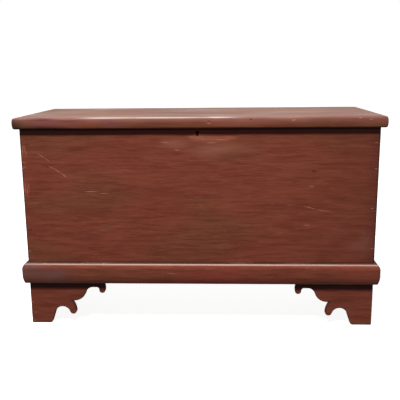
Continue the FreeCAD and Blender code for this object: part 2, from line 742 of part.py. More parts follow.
def draw_scroll(sketch, whole):
    """The bracket's outline: toe, low arch, low lobe, cusp, ogee, and if it is whole a high arch and lobe.

    Neighbouring arcs are tangent, apart from the cusp. A bracket that isn't whole ends where the ogee's belly
    stands upright. The circles worked out here only start the sketch; its constraints hold it.
    """
    height = size.foot_height.value
    cusp = (size.cusp_x.value, size.cusp_z.value)
    toe = (size.toe_width.value, size.toe_radius.value, size.toe_radius.value)
    low_arch = (size.low_arch_x.value, size.low_arch_z.value, size.low_arch_radius.value)
    low_lobe = circle_above(low_arch, size.low_lobe_z.value, size.low_lobe_radius.value)
    low_flank = flank_of(low_lobe, size.low_flank_radius.value, cusp)
    belly = size.ogee_radius.value
    ogee = (size.ogee_x.value, cusp[1] + math.sqrt(belly ** 2 - (size.ogee_x.value - cusp[0]) ** 2), belly)
    lean = 0.4  # first guess at the shin's slope in radians, which its two tangents settle
    toe_end = (toe[0] + toe[2] * math.cos(lean), toe[1] - toe[2] * math.sin(lean))
    arch_start = (low_arch[0] - low_arch[2] * math.cos(lean), low_arch[1] + low_arch[2] * math.sin(lean))
    # each step: its name, its circle or None for a straight line, its end point, and its turn
    steps = [
        ("bottom", None, (toe[0], 0), 0),
        ("toe", toe, toe_end, 1),
        ("shin", None, arch_start, 0),
        ("low_arch", low_arch, touching(low_arch, low_lobe), -1),
        ("low_lobe", low_lobe, touching(low_lobe, low_flank), 1),
        ("low_flank", low_flank, cusp, 1),
    ]
    if whole:
        high_arch = circle_above(ogee, size.high_arch_z.value, size.high_arch_radius.value)
        crown = high_arch[1] + high_arch[2]
        flat_end = high_arch[0] + size.high_arch_flat.value
        high_turn = (flat_end, crown - size.high_turn_radius.value, size.high_turn_radius.value)
        high_lobe = circle_above(high_turn, size.high_lobe_z.value, size.high_lobe_radius.value)
        end_x = size.bracket_width.value
        high_flank = flank_of(high_lobe, size.high_flank_radius.value, (end_x, height))
        steps += [
            ("ogee", ogee, touching(ogee, high_arch), 1),
            ("high_arch", high_arch, (high_arch[0], crown), -1),
            ("flat", None, (flat_end, crown), 0),
            ("high_turn", high_turn, touching(high_turn, high_lobe), -1),
            ("high_lobe", high_lobe, touching(high_lobe, high_flank), 1),
            ("high_flank", high_flank, (end_x, height), 1),
        ]
    else:
        end_x = ogee[0] + belly
        steps += [("ogee", ogee, (end_x, ogee[1]), 1), ("edge", None, (end_x, height), 0)]
    steps += [("top", None, (0, height), 0), ("outer", None, (0, 0), 0)]

    edges = {name: number for number, (name, circle, stop, turn) in enumerate(steps)}
    start = (0, 0)
    ends = []
    for name, circle, stop, turn in steps:
        if circle is None:
            sketch.addGeometry(Part.LineSegment(FreeCAD.Vector(*start, 0), FreeCAD.Vector(*stop, 0)))
        else:
            first, last = (start, stop) if turn > 0 else (stop, start)
            angles = [math.atan2(point[1] - circle[1], point[0] - circle[0]) for point in (first, last)]
            curve = Part.Circle(FreeCAD.Vector(circle[0], circle[1], 0), FreeCAD.Vector(0, 0, 1), circle[2])
            sketch.addGeometry(Part.ArcOfCircle(curve, *angles))
        ends.append((2, 1) if turn < 0 else (1, 2))
        start = stop
    sharp = ("low_flank", "high_flank", "edge", "top", "outer")
    for number, (name, circle, stop, turn) in enumerate(steps):
        following = (number + 1) % len(steps)
        kind = "Coincident" if name in sharp else "Tangent"
        join = (number, ends[number][1], following, ends[following][0])
        sketch.addConstraint(Sketcher.Constraint(kind, *join))
    pin_point(sketch, edges["bottom"], 1, ZERO, ZERO)
    for name in ("bottom", "flat", "top"):
        if name in edges:
            sketch.addConstraint(Sketcher.Constraint("Horizontal", edges[name]))
    for name in ("edge", "outer"):
        if name in edges:
            sketch.addConstraint(Sketcher.Constraint("Vertical", edges[name]))
    pin_point(sketch, edges["low_arch"], 3, size.low_arch_x, size.low_arch_z)
    pin_point(sketch, edges["low_flank"], 2, size.cusp_x, size.cusp_z)
    hold(sketch, "DistanceX", edges["toe"], 3, size.toe_width)
    hold(sketch, "DistanceX", edges["ogee"], 3, size.ogee_x)
    hold(sketch, "DistanceY", edges["low_lobe"], 3, size.low_lobe_z)
    hold(sketch, "DistanceY", edges["top"], 1, size.foot_height)
    if whole:
        hold(sketch, "DistanceY", edges["high_arch"], 3, size.high_arch_z)
        hold(sketch, "DistanceY", edges["high_lobe"], 3, size.high_lobe_z)
        hold(sketch, "DistanceX", edges["high_flank"], 2, size.bracket_width)
        flat = Sketcher.Constraint("DistanceX", edges["flat"], 1, edges["flat"], 2, size.high_arch_flat.value)
        bind(sketch, f"Constraints[{sketch.addConstraint(flat)}]", size.high_arch_flat)
    radii = {"toe": size.toe_radius, "low_arch": size.low_arch_radius, "low_lobe": size.low_lobe_radius,
             "low_flank": size.low_flank_radius, "ogee": size.ogee_radius,
             "high_arch": size.high_arch_radius, "high_turn": size.high_turn_radius,
             "high_lobe": size.high_lobe_radius, "high_flank": size.high_flank_radius}
    for name, radius in radii.items():
        if name in edges:
            set_radius(sketch, edges[name], radius)


def scroll_bracket(node, corner_x, corner_y, turn, inward, whole, mitred):
    """A scroll-cut bracket, drawn from its outer bottom corner.

    Its own X runs along the face away from the corner and its own Y runs up. turn is the angle of that X in
    the plan; inward is 1 where the board's thickness lies on its own +Z side, and -1 where it doesn't.
    """
    body = new_body(node + "_blank")
    sketch = new_sketch(body, "XY", ZERO)
    draw_scroll(sketch, whole)
    plank = body.newObject("PartDesign::Pad", "plank")
    plank.Profile = sketch
    plank.Reversed = inward < 0
    bind(plank, "Length", size.bracket_thick)
    if mitred:
        mitre = new_sketch(body, "XZ", ZERO)
        draw(mitre, [(ZERO, ZERO), (size.bracket_thick, size.bracket_thick * inward),
                     (ZERO, size.bracket_thick * inward)])
        cut = body.newObject("PartDesign::Pocket", "mitre")
        cut.Profile = mitre
        bind(cut, "Length", size.foot_height)
    upright = FreeCAD.Rotation(FreeCAD.Vector(1, 0, 0), 90)
    body.Placement = FreeCAD.Placement(FreeCAD.Vector(), FreeCAD.Rotation(FreeCAD.Vector(0, 0, 1), turn)
                                       .multiply(upright))
    bind(body, "Placement.Base.x", corner_x)
    bind(body, "Placement.Base.y", corner_y)
    return drilled(body, [foot_nail_holes], node)


scroll_bracket("foot_front_left_face", left, front, 0, -1, True, True)
scroll_bracket("foot_front_right_face", right, front, 180, 1, True, True)
scroll_bracket("foot_front_left_side", left, front, 90, 1, False, True)
scroll_bracket("foot_front_right_side", right, front, 90, -1, False, True)
scroll_bracket("foot_back_left_side", left, back, -90, -1, False, False)
scroll_bracket("foot_back_right_side", right, back, -90, 1, False, False)

cove = size.back_bracket_width - size.back_bracket_leg
for side, corner, way in (("left", left, 1), ("right", right, -1)):
    start_x = corner + size.bracket_thick * way
    leg_x = start_x + size.back_bracket_leg * way
    end_x = start_x + size.back_bracket_width * way
    spring_line = size.foot_height - cove
    name = f"foot_back_{side}_plain"
    blank = new_body(name + "_blank")
    pad(blank, "XZ", [[(start_x, ZERO), (leg_x, ZERO), (leg_x, spring_line, cove, -way),
                       (end_x, size.foot_height), (start_x, size.foot_height)]], back_inside, back)
    drilled(blank, [foot_nail_holes], name)

for place_y, low_y in (("front", front + size.bracket_thick), ("back", back - size.board - size.block_width)):
    for place_x, low_x in (("left", left + size.bracket_thick),
                           ("right", right - size.bracket_thick - size.block_width)):
        blank = box_body(f"block_{place_y}_{place_x}_blank", (low_x, low_y, size.block_lift),
                         (low_x + size.block_width, low_y + size.block_width, size.foot_height))
        drilled(blank, [foot_nail_holes], f"foot_block_{place_y}_{place_x}")

# ---------------------------------------------------------------------------------------------------------
# The lid board, let in on its underside for the hinge straps and the keeper.
# ---------------------------------------------------------------------------------------------------------
knuckle = size.hinge_width / 3
barrel_radius = size.hinge_pin_radius + size.strap_thick
bore_radius = size.hinge_pin_radius + size.hinge_pin_fit
knuckle_clear = barrel_radius + size.hinge_play * 2
lid_side = size.lip_gap
lid_blank = box_body("lid_board_blank", (left - lid_side, front - lid_side, rim),
                     (right + lid_side, back, lid_top))


def strap_outline(x, start, end):
    """A strap that is parallel by its knuckles at start and then tapers to its tail at end."""
    wide = size.hinge_width / 2
    thin = size.strap_tail / 2
    taper_start = start - knuckle_clear * 2
    return [(x - wide, start), (x + wide, start), (x + wide, taper_start), (x + thin, end),
            (x - thin, end), (x - wide, taper_start)]


strap_end_y = hinge_y - size.lid_strap_length
strap_end_z = hinge_z - size.back_strap_length
gain_top = rim + size.strap_thick
for x in hinge_places:
    pocket(lid_blank, "XY", [strap_outline(x, back, strap_end_y)], rim, gain_top)
    pocket(lid_blank, "XY", [(x, strap_end_y, size.finial_radius + size.hinge_play)], rim, gain_top)

# ---------------------------------------------------------------------------------------------------------
# Strap hinges: the back strap has the two outer knuckles, the lid strap has the middle one.
# ---------------------------------------------------------------------------------------------------------
for side, x in zip(("left", "right"), hinge_places):
    outer = size.hinge_width / 2
    inner = knuckle / 2
    # back strap: flat on the outside of the back board
    strap = new_body(f"hinge_{side}_back_blank")
    strap_back = back + size.strap_thick
    pad(strap, "XZ", [strap_outline(x, hinge_z, strap_end_z)], back, strap_back)
    pad(strap, "XZ", [(x, strap_end_z, size.finial_radius)], back, strap_back)
    notch = oblong(x - inner - size.hinge_play, hinge_z - knuckle_clear, x + inner + size.hinge_play,
                   hinge_z + size.hinge_play)
    pocket(strap, "XZ", [notch], back, strap_back)
    for low, high in ((x - outer, x - inner - size.hinge_play), (x + inner + size.hinge_play, x + outer)):
        pad(strap, "YZ", [(hinge_y, hinge_z, barrel_radius)], low, high)
    pocket(strap, "YZ", [(hinge_y, hinge_z, bore_radius)], x - outer, x + outer)
    drilled(strap, [back_strap_holes], f"hinge_{side}_back_strap")
    # lid strap: let in flush under the lid
    strap = new_body(f"hinge_{side}_lid_blank")
    pad(strap, "XY", [strap_outline(x, back, strap_end_y)], rim, gain_top)
    pad(strap, "XY", [(x, strap_end_y, size.finial_radius)], rim, gain_top)
    pad(strap, "XY", [oblong(x - inner, back, x + inner, hinge_y)], rim, gain_top)
    pad(strap, "YZ", [(hinge_y, hinge_z, barrel_radius)], x - inner, x + inner)
    pocket(strap, "YZ", [(hinge_y, hinge_z, bore_radius)], x - inner, x + inner)
    drilled(strap, [lid_strap_holes], f"hinge_{side}_lid_strap")
    # pin, riveted over at both ends
    pin = new_body(f"hinge_{side}_pin")
    pad(pin, "YZ", [(hinge_y, hinge_z, size.hinge_pin_radius)], x - outer, x + outer)
    for low in (x - outer - size.pin_head_height, x + outer):
        pad(pin, "YZ", [(hinge_y, hinge_z, size.pin_head_radius)], low, low + size.pin_head_height)
    keep(pin, f"hinge_{side}_pin")

# ---------------------------------------------------------------------------------------------------------
# The lock: plate with its selvage, case, key post, bolt and spring; and the keeper on the lid.
# ---------------------------------------------------------------------------------------------------------
works_low = size.lock_x - size.works_width / 2
works_high = size.lock_x + size.works_width / 2
works_top = rim - size.plate_thick
works_bottom = rim - size.works_height
plate_front = front_inside - size.plate_thick
inside_front = works_front + size.works_wall
bolt_z = rim - size.bolt_drop
bolt_low = bolt_z - size.bolt_height / 2
bolt_high = bolt_z + size.bolt_height / 2
bolt_start = works_low + size.works_wall + size.eye_fit
bolt_tip = bolt_start + size.bolt_length
eye_low = bolt_tip + size.eye_fit
eye_high = eye_low + size.eye_thick
eye_y_middle = (inside_front + plate_front) / 2
eye_front = eye_y_middle - size.eye_depth / 2
eye_back = eye_y_middle + size.eye_depth / 2
eye_hole_low = bolt_z - size.bolt_tip_height / 2 - size.eye_fit
eye_hole_high = bolt_z + size.bolt_tip_height / 2 + size.eye_fit

lock_rows = []
nail_x = (size.plate_width + size.works_width) / 4
for x in (size.lock_x - nail_x, size.lock_x + nail_x):
    for share in LOCK_NAIL_SHARES:
        lock_rows.append(((x, front_inside, rim - size.plate_height * share), "-Y"))
lock_nails, lock_holes = nails(lock_rows, size.lock_nail_radius, size.lock_nail_length + size.plate_thick)
keep(compound(lock_nails), "lock_nails")

lock_plate = new_body("lock_plate_blank")
pad(lock_plate, "XZ", [plate_outline], plate_front, front_inside)
pad(lock_plate, "XZ", [selvage_outline], works_front, plate_front)
pocket(lock_plate, "XY", [oblong(eye_low - size.eye_fit, eye_front - size.eye_fit, eye_high + size.eye_fit,
                                 eye_back + size.eye_fit)], works_top, rim)
drilled(lock_plate, [lock_holes], "lock_plate")

lock_case = new_body("lock_case")
pad(lock_case, "XZ", [works_outline], works_front, plate_front)
pocket(lock_case, "XZ", [oblong(works_low + size.works_wall, works_bottom + size.works_wall,
                                works_high - size.works_wall, works_top)], inside_front, plate_front)
pocket(lock_case, "XZ", [(size.lock_x, keyhole_z, size.keyhole_radius)], works_front, inside_front)
pocket(lock_case, "XZ", [key_slot], works_front, inside_front)
guide_top = bolt_low - size.bolt_fit
guide_start = works_low + size.works_wall
pad(lock_case, "XZ", [oblong(guide_start, guide_top - size.guide_height, guide_start + size.guide_length,
                             guide_top)], inside_front, plate_front)
keep(lock_case, "lock_case")

lock_post = new_body("lock_post")
pad(lock_post, "XZ", [(size.lock_x, keyhole_z, size.post_radius)],
    inside_front + size.works_wall, plate_front)
keep(lock_post, "lock_post")

lock_bolt = new_body("lock_bolt")
bolt_front = inside_front + size.bolt_fit
bolt_back = plate_front - size.bolt_fit
shoulder = bolt_tip - size.bolt_tip_length
pad(lock_bolt, "XZ", [oblong(bolt_start, bolt_low, shoulder, bolt_high)], bolt_front, bolt_back)
pad(lock_bolt, "XZ", [oblong(shoulder, bolt_z - size.bolt_tip_height / 2, bolt_tip,
                             bolt_z + size.bolt_tip_height / 2)],
    eye_y_middle - size.bolt_tip_thick / 2, eye_y_middle + size.bolt_tip_thick / 2)
pocket(lock_bolt, "XZ", [oblong(size.lock_x - size.talon_width, bolt_low, size.lock_x,
                                bolt_low + size.talon_depth)], bolt_front, bolt_back)
keep(lock_bolt, "lock_bolt")

# a leaf spring from the left wall of the lock case, lying along the bolt's top edge
lock_spring = new_body("lock_spring")
spring_low = bolt_high + size.bolt_fit
spring_high = works_top - size.bolt_fit
spring_wall = works_low + size.works_wall
pad(lock_spring, "XZ", [[
    (spring_wall, spring_high - size.spring_thick),
    (size.lock_x, spring_low),
    (size.lock_x, spring_low + size.spring_thick),
    (spring_wall, spring_high),
]], eye_y_middle - size.spring_width / 2, eye_y_middle + size.spring_width / 2)
keep(lock_spring, "lock_spring")

# keeper: a plate let in flush under the lid, with an eye that drops through the selvage
keeper_middle = (eye_low + eye_high) / 2
keeper_low = keeper_middle - size.keeper_length / 2
keeper_high = keeper_middle + size.keeper_length / 2
keeper_outline = oblong(keeper_low, eye_y_middle - size.keeper_width / 2, keeper_high,
                        eye_y_middle + size.keeper_width / 2)
keeper_top = rim + size.plate_thick
pocket(lid_blank, "XY", [keeper_outline], rim, keeper_top)
keeper_rows = []
for share in KEEPER_NAIL_SHARES:
    keeper_rows.append(((keeper_middle + size.keeper_length * share, eye_y_middle, rim), "+Z"))
keeper_nails, keeper_holes = nails(keeper_rows, size.lock_nail_radius,
                                   size.lock_nail_length + size.plate_thick)
keep(compound(keeper_nails), "keeper_nails")
keeper = new_body("lock_keeper_blank")
pad(keeper, "XY", [keeper_outline], rim, keeper_top)
eye_outline = oblong(eye_front, eye_hole_low - size.eye_wall, eye_back, rim)
pad(keeper, "YZ", [eye_outline], eye_low, eye_high)
hole_half = size.bolt_tip_thick / 2 + size.eye_fit
eye_hole = oblong(eye_y_middle - hole_half, eye_hole_low, eye_y_middle + hole_half, eye_hole_high)
pocket(keeper, "YZ", [eye_hole], eye_low, eye_high)
drilled(keeper, [keeper_holes], "lock_keeper")

# ---------------------------------------------------------------------------------------------------------
# Drill the boards that several groups of nails enter.
# ---------------------------------------------------------------------------------------------------------
drilled(front_blank, [base_brad_holes, bottom_nail_holes, lock_holes], "front_board")
drilled(back_blank, [bottom_nail_holes, back_strap_holes], "back_board")
drilled(left_blank, [base_brad_holes, bottom_nail_holes], "left_end_board")
drilled(right_blank, [base_brad_holes, bottom_nail_holes], "right_end_board")
drilled(lid_blank, [lip_brad_holes, lid_strap_holes, keeper_holes], "lid_board")

# ---------------------------------------------------------------------------------------------------------
# Work everything out, check it, and write one file for each piece.
# ---------------------------------------------------------------------------------------------------------
LEAST_CUT = 0.1  # mm3
doc.recompute()
for item in doc.Objects:
    if "Invalid" in item.State or "Error" in item.State:
        raise RuntimeError(f"{item.Label} failed: {item.State}")
    if item.TypeId == "PartDesign::Pocket":
        removed = item.BaseFeature.Shape.Volume - item.Shape.Volume
        if removed < LEAST_CUT:
            raise RuntimeError(f"{item.Label} cuts nothing")
    if item.TypeId == "Sketcher::SketchObject" and item.solve() != 0:
        raise RuntimeError(f"{item.Label} isn't solved")

os.makedirs("parts", exist_ok=True)
for node, piece in parts.items():
    shape = piece.Shape
    if shape.isNull() or not shape.isValid() or not shape.Solids:
        raise RuntimeError(f"{node} has no valid solid")
    shape.exportStep(f"parts/{node}.step")
    print(f"{node:28s} solids {len(shape.Solids):2d}  volume {shape.Volume / 1000:10.1f} cm3")
print(len(parts), "pieces")
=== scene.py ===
"""Blanket chest in old red paint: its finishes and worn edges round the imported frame, and its studio."""
import math

import bmesh
import bpy
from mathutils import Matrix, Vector, noise


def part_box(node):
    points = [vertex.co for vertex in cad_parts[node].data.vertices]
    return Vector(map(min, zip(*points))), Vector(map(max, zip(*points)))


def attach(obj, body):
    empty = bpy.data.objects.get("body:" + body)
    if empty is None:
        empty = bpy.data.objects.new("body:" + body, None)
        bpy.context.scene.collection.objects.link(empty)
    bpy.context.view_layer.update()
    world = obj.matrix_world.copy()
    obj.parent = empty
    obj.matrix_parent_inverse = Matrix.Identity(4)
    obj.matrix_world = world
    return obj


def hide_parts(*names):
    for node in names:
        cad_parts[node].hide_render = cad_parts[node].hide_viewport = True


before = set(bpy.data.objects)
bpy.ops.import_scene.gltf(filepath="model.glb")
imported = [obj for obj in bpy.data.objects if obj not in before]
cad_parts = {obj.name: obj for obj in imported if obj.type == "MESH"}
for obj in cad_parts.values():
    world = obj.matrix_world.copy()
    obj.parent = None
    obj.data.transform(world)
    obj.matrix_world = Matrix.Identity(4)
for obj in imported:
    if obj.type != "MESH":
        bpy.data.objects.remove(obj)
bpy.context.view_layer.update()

# ---------------------------------------------------------------------------------------------------------
# The case: four inch-thick pine boards, dovetailed at the corners. Iron-oxide red paint covers what shows
# from the front and the ends; the inside, the rim and the whole back board were never painted.
# ---------------------------------------------------------------------------------------------------------
case_front, case_back = (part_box("front_board")[0].y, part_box("back_board")[1].y)
case_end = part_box("right_end_board")[1].x
TOUCHING = 1e-4  # places closer than this are the same


def linear(code):
    """An sRGB hex colour as the linear one that the shaders take."""
    parts = [int(code[i:i + 2], 16) / 255 for i in (0, 2, 4)]
    return [p / 12.92 if p <= 0.04045 else ((p + 0.055) / 1.055) ** 2.4 for p in parts] + [1]


def add_node(tree, kind, inputs=(), output=0, **settings):
    """Adds a node, with numbers, colours or other nodes' outputs for its inputs, and returns one output."""
    node = tree.nodes.new(kind)
    for name, value in settings.items():
        setattr(node, name, value)
    for key, value in dict(inputs).items():
        if isinstance(value, bpy.types.NodeSocket):
            tree.links.new(value, node.inputs[key])
        else:
            node.inputs[key].default_value = value
    return node.outputs[output] if node.outputs else None


def blank_material(name):
    """A new material with nothing in it yet, and its node tree."""
    material = bpy.data.materials.new(name)
    material.use_nodes = True
    material.node_tree.nodes.clear()
    return material, material.node_tree


def wood_patterns(tree, along, shift, wanted):
    """Noise drawn out along the grain. wanted is (name, length, width, detail) with both sizes in metres."""
    place = add_node(tree, "ShaderNodeTexCoord", output="Object")
    turn = {"x": (0, 0, 0), "y": (0, 0, math.radians(90)), "z": (0, math.radians(90), 0)}[along]
    patterns = {}
    for number, (name, length, width, detail) in enumerate(wanted):
        turned = add_node(tree, "ShaderNodeMapping", {0: place, "Rotation": turn})
        drawn = add_node(tree, "ShaderNodeMapping", {
            0: turned, "Location": (3.1 * number + 1.7 + shift, 1.3 * number + shift, 2.9 * number),
            "Scale": (1 / length, 1 / width, 1 / width)})
        patterns[name] = add_node(tree, "ShaderNodeTexNoise", {0: drawn, "Scale": 1, "Detail": detail})
    return patterns


def end_grain(tree, along):
    """1 where a face cuts across the grain."""
    normal = add_node(tree, "ShaderNodeTexCoord", output="Normal")
    across = add_node(tree, "ShaderNodeSeparateXYZ", {0: normal}, output=along.upper())
    length = add_node(tree, "ShaderNodeMath", {0: across}, operation="ABSOLUTE")
    return add_node(tree, "ShaderNodeMapRange", {"Value": length, "From Min": 0.75, "From Max": 0.95})


def lay_over(tree, colour, layers):
    """Lays tones over a colour, each where its pattern runs from the low to the high value."""
    for pattern, low, high, amount, tone in layers:
        mask = add_node(tree, "ShaderNodeMapRange", {
            "Value": pattern, "From Min": low, "From Max": high, "To Max": amount})
        colour = add_node(tree, "ShaderNodeMix", {0: mask, 6: colour, 7: linear(tone)}, output=2,
                          data_type="RGBA")
    return colour


def marks_mask(tree, surface, marks):
    """1 inside spindle-shaped marks on a front surface: (x, z, half length, half width, tilt) in mm."""
    place = add_node(tree, "ShaderNodeTexCoord", output="Object")
    mask = 0.0
    for x, z, half_length, half_width, tilt in marks:
        inside = add_node(tree, "ShaderNodeMapping", {
            0: place, "Location": (x / 1000, surface, z / 1000), "Rotation": (0, math.radians(-tilt), 0),
            "Scale": (half_length / 1000, 0.03, half_width / 1000)}, vector_type="TEXTURE")
        spindle = add_node(tree, "ShaderNodeTexGradient", {0: inside}, output="Fac",
                           gradient_type="SPHERICAL")
        mask = add_node(tree, "ShaderNodeMath", {0: mask, 1: spindle}, operation="MAXIMUM")
    return mask


# A hand plane leaves hollows of about 0.3 mm. Light hardly shows that, so the bump draws them deeper.
PLANED_DEPTH, PLANED_BUMP = (0.0003, 0.0016)


def red_paint(name, along, shift=0.0, thin=0.0, surface=0.0, marks=(), fades=()):
    """Iron-oxide red casein paint, brushed along the grain of pine: satin, streaked, and uneven in tone.
    thin is how much brown wood shows through. marks is (tone, amount, torn, spindles) on the surface, and
    fades is (axis, place where it starts, place where it is full, amount, tone)."""
    material, tree = blank_material(name)
    # Bristles draw lines of about 0.5 mm, and paint comes off in flecks of about 1 mm. Both are too fine to
    # show, so stroke, bristle, drag and fleck are drawn three to eight times as coarse.
    pattern = wood_patterns(tree, along, shift, (
        ("drift", 0.42, 0.19, 2),  # areas where the coat is thicker or browner
        ("cloud", 0.13, 0.05, 3),  # one load of the brush beside the next
        ("stroke", 0.09, 0.0040, 2),
        ("bristle", 0.05, 0.0016, 1),
        ("drag", 0.034, 0.0023, 2),  # short streaks where the paint dragged
        ("daub", 0.085, 0.009, 3),  # where the brush was laid on and lifted
        ("rub", 0.030, 0.0028, 3),  # small scuffs
        ("fleck", 0.004, 0.0025, 2),
        ("plane", 0.14, 0.07, 1),  # the hand plane's hollows under the paint
        ("trace", 0.30, 0.020, 3),  # bands rubbed thin along the grain
    ))
    colour = lay_over(tree, linear("7a3a2b"), (
        (pattern["drift"], 0.46, 0.62, 0.80, "6d402a"),
        (pattern["cloud"], 0.42, 0.70, 0.50, "81402e"),
        (pattern["cloud"], 0.48, 0.28, 0.40, "6a3122"),
        (pattern["stroke"], 0.46, 0.72, 0.32, "8c4f3c"),
        (pattern["stroke"], 0.48, 0.26, 0.36, "5e2a1c"),
        (pattern["drag"], 0.55, 0.75, 0.42, "8f5643"),
        (pattern["drag"], 0.45, 0.25, 0.46, "582719"),
        (pattern["daub"], 0.52, 0.68, 0.42, "8b4a38"),
        (pattern["daub"], 0.48, 0.32, 0.42, "61291b"),
        (pattern["rub"], 0.64, 0.78, 0.50, "9d6650"),
        (end_grain(tree, along), 0, 1, 0.12, "4a2319"),
    ))
    if thin:
        colour = lay_over(tree, colour, ((pattern["drift"], 0.66, 0.36, thin, "8a6146"),
                                         (pattern["stroke"], 0.52, 0.30, thin * 0.6, "6e4c36"),
                                         (pattern["trace"], 0.50, 0.32, thin * 0.7, "5f4230"),
                                         (pattern["trace"], 0.54, 0.70, thin * 0.6, "9a7a62")))
    if fades:
        place = add_node(tree, "ShaderNodeTexCoord", output="Object")
    for axis, start, full, amount, tone in fades:
        spot = add_node(tree, "ShaderNodeSeparateXYZ", {0: place}, output=axis.upper())
        # The cloud is 0.5 on average. With 0.6 added, a fade is uneven and full at about 1.1.
        uneven = add_node(tree, "ShaderNodeMath", {0: pattern["cloud"], 1: 0.6}, operation="ADD")
        mask = add_node(tree, "ShaderNodeMapRange", {"Value": spot, "From Min": start, "From Max": full})
        mask = add_node(tree, "ShaderNodeMath", {0: mask, 1: uneven}, operation="MULTIPLY")
        colour = lay_over(tree, colour, ((mask, 0, 1.1, amount, tone),))
    for tone, amount, torn, spindles in marks:
        patch = marks_mask(tree, surface, spindles)
        if torn:
            patch = add_node(tree, "ShaderNodeMath", {0: patch, 1: pattern["cloud"]}, operation="MULTIPLY")
        colour = lay_over(tree, colour, ((patch, 0.02, 0.50 if torn else 0.55, amount, tone),))
    wear_and_shade = add_node(tree, "ShaderNodeAttribute", output="Fac", attribute_name="edge_wear_and_shade")
    broken = add_node(tree, "ShaderNodeMath", {0: wear_and_shade, 1: pattern["fleck"]}, operation="MULTIPLY")
    colour = lay_over(tree, colour, (
        (broken, 0.50, 0.62, 0.7, "a8795c"),  # wood where the paint is off a worn arris
        (broken, -0.25, -0.55, 0.9, "2e130d"),  # dirt held in saw-cut edges, and painted shade on the case's upright corners
    ))
    satin = add_node(tree, "ShaderNodeMapRange", {  # bare bands are duller than the paint beside them
        "Value": pattern["trace" if thin else "stroke"], "From Min": 0.3, "From Max": 0.7,
        "To Min": 0.40 - thin * 0.14, "To Max": 0.56 + thin * 0.16})
    flat = add_node(tree, "ShaderNodeBump", {
        "Height": pattern["plane"], "Strength": 1, "Distance": PLANED_BUMP})
    brushed = add_node(tree, "ShaderNodeBump", {
        "Height": pattern["stroke"], "Strength": 1, "Distance": 0.0001, "Normal": flat})
    brushed = add_node(tree, "ShaderNodeBump", {
        "Height": pattern["bristle"], "Strength": 1, "Distance": 0.00005, "Normal": brushed})
    shader = add_node(tree, "ShaderNodeBsdfPrincipled", {
        "Base Color": colour, "Roughness": satin, "Normal": brushed, "IOR": 1.5})
    add_node(tree, "ShaderNodeOutputMaterial", {"Surface": shader})
    return material


def bare_pine(name, along, pale, dark, ring_gap=0.007):
    """Unpainted pine gone brown with age: flat-sawn growth rings, dry and dull, darker in the late wood. Its
    fibres are finer than 0.1 mm and wouldn't show, so they are drawn as streaks of about 1 mm."""
    material, tree = blank_material(name)
    pattern = wood_patterns(tree, along, 0, (
        ("bow", 0.70, 0.10, 2),  # how the rings wander along the board
        ("fibre", 0.06, 0.0012, 2),
        ("stain", 0.25, 0.12, 3),
        ("plane", 0.14, 0.07, 1),
    ))
    # The rings lie round a pith in the middle of the chest, and are drawn out along the grain.
    place = add_node(tree, "ShaderNodeTexCoord", output="Object")
    squeeze = {"x": (0.05, 1, 1), "y": (1, 0.05, 1), "z": (1, 1, 0.05)}[along]
    pith = add_node(tree, "ShaderNodeMapping", {0: place, "Location": (0, 0.05, -0.08), "Scale": squeeze})
    radius = add_node(tree, "ShaderNodeVectorMath", {0: pith}, output="Value", operation="LENGTH")
    wander = add_node(tree, "ShaderNodeMath", {0: pattern["bow"], 1: 0.05}, operation="MULTIPLY")
    radius = add_node(tree, "ShaderNodeMath", {0: radius, 1: wander}, operation="ADD")
    rings = add_node(tree, "ShaderNodeMath", {0: radius, 1: 1 / ring_gap}, operation="MULTIPLY")
    ring = add_node(tree, "ShaderNodeMath", {0: rings}, operation="FRACT")
    colour = lay_over(tree, linear(pale), (
        (ring, 0.25, 0.95, 0.60, dark),
        (ring, 0.95, 1.0, 0.60, pale),
        (pattern["fibre"], 0.45, 0.75, 0.35, dark),
        (pattern["stain"], 0.48, 0.75, 0.55, "5f432b"),
        (end_grain(tree, along), 0, 1, 0.5, "5a3d26"),
    ))
    flat = add_node(tree, "ShaderNodeBump", {
        "Height": pattern["plane"], "Strength": 1, "Distance": PLANED_BUMP})
    dry = add_node(tree, "ShaderNodeBump", {
        "Height": pattern["fibre"], "Strength": 1, "Distance": 0.00012, "Normal": flat})
    shader = add_node(tree, "ShaderNodeBsdfPrincipled", {
        "Base Color": colour, "Roughness": 0.72, "Normal": dry, "IOR": 1.5})
    add_node(tree, "ShaderNodeOutputMaterial", {"Surface": shader})
    return material


def merged_copy(node):
    """A CAD node's mesh with its triangles joined into the flat faces that they came from."""
    bm = bmesh.new()
    bm.from_mesh(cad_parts[node].data)
    bmesh.ops.remove_doubles(bm, verts=bm.verts, dist=1e-6)
    bmesh.ops.dissolve_limit(bm, angle_limit=math.radians(0.5), verts=bm.verts, edges=bm.edges)
    return bm


def ease(bm, width, chosen=lambda edge: True, shortest=0.0005, wear_and_shade=1):
    """Rounds outer arrises and marks their new faces: 1 is worn pale, 0 is unmarked, and -1 is dark, which is
    dirt on the feet and painted shade on the case's corners. Edges no longer than shortest stay sharp, among
    them those of nail holes."""
    edge_wear_and_shade = bm.loops.layers.float.get("edge_wear_and_shade") or bm.loops.layers.float.new("edge_wear_and_shade")
    arrises = [e for e in bm.edges if e.is_convex and e.calc_face_angle(0) > math.radians(40)
               and e.calc_length() > shortest and chosen(e)]
    made = bmesh.ops.bevel(bm, geom=arrises, offset=width, offset_type="OFFSET", segments=3, profile=0.5,
                           affect="EDGES", clamp_overlap=False, material=-1)
    for face in made["faces"]:
        for loop in face.loops:
            loop[edge_wear_and_shade] = wear_and_shade


def cut_across(bm, axis, step, low=None, high=None):
    """Cuts a piece into strips across one axis, so that its faces can bend a little."""
    spots = [v.co[axis] for v in bm.verts]
    low, high = (min(spots) if low is None else low, max(spots) if high is None else high)
    across = Vector([int(i == axis) for i in range(3)])
    strips = max(1, round((high - low) / step))
    for number in range(1, strips):
        bmesh.ops.bisect_plane(bm, geom=bm.verts[:] + bm.edges[:] + bm.faces[:], dist=1e-7,
                               plane_co=across * (low + (high - low) * number / strips), plane_no=across)


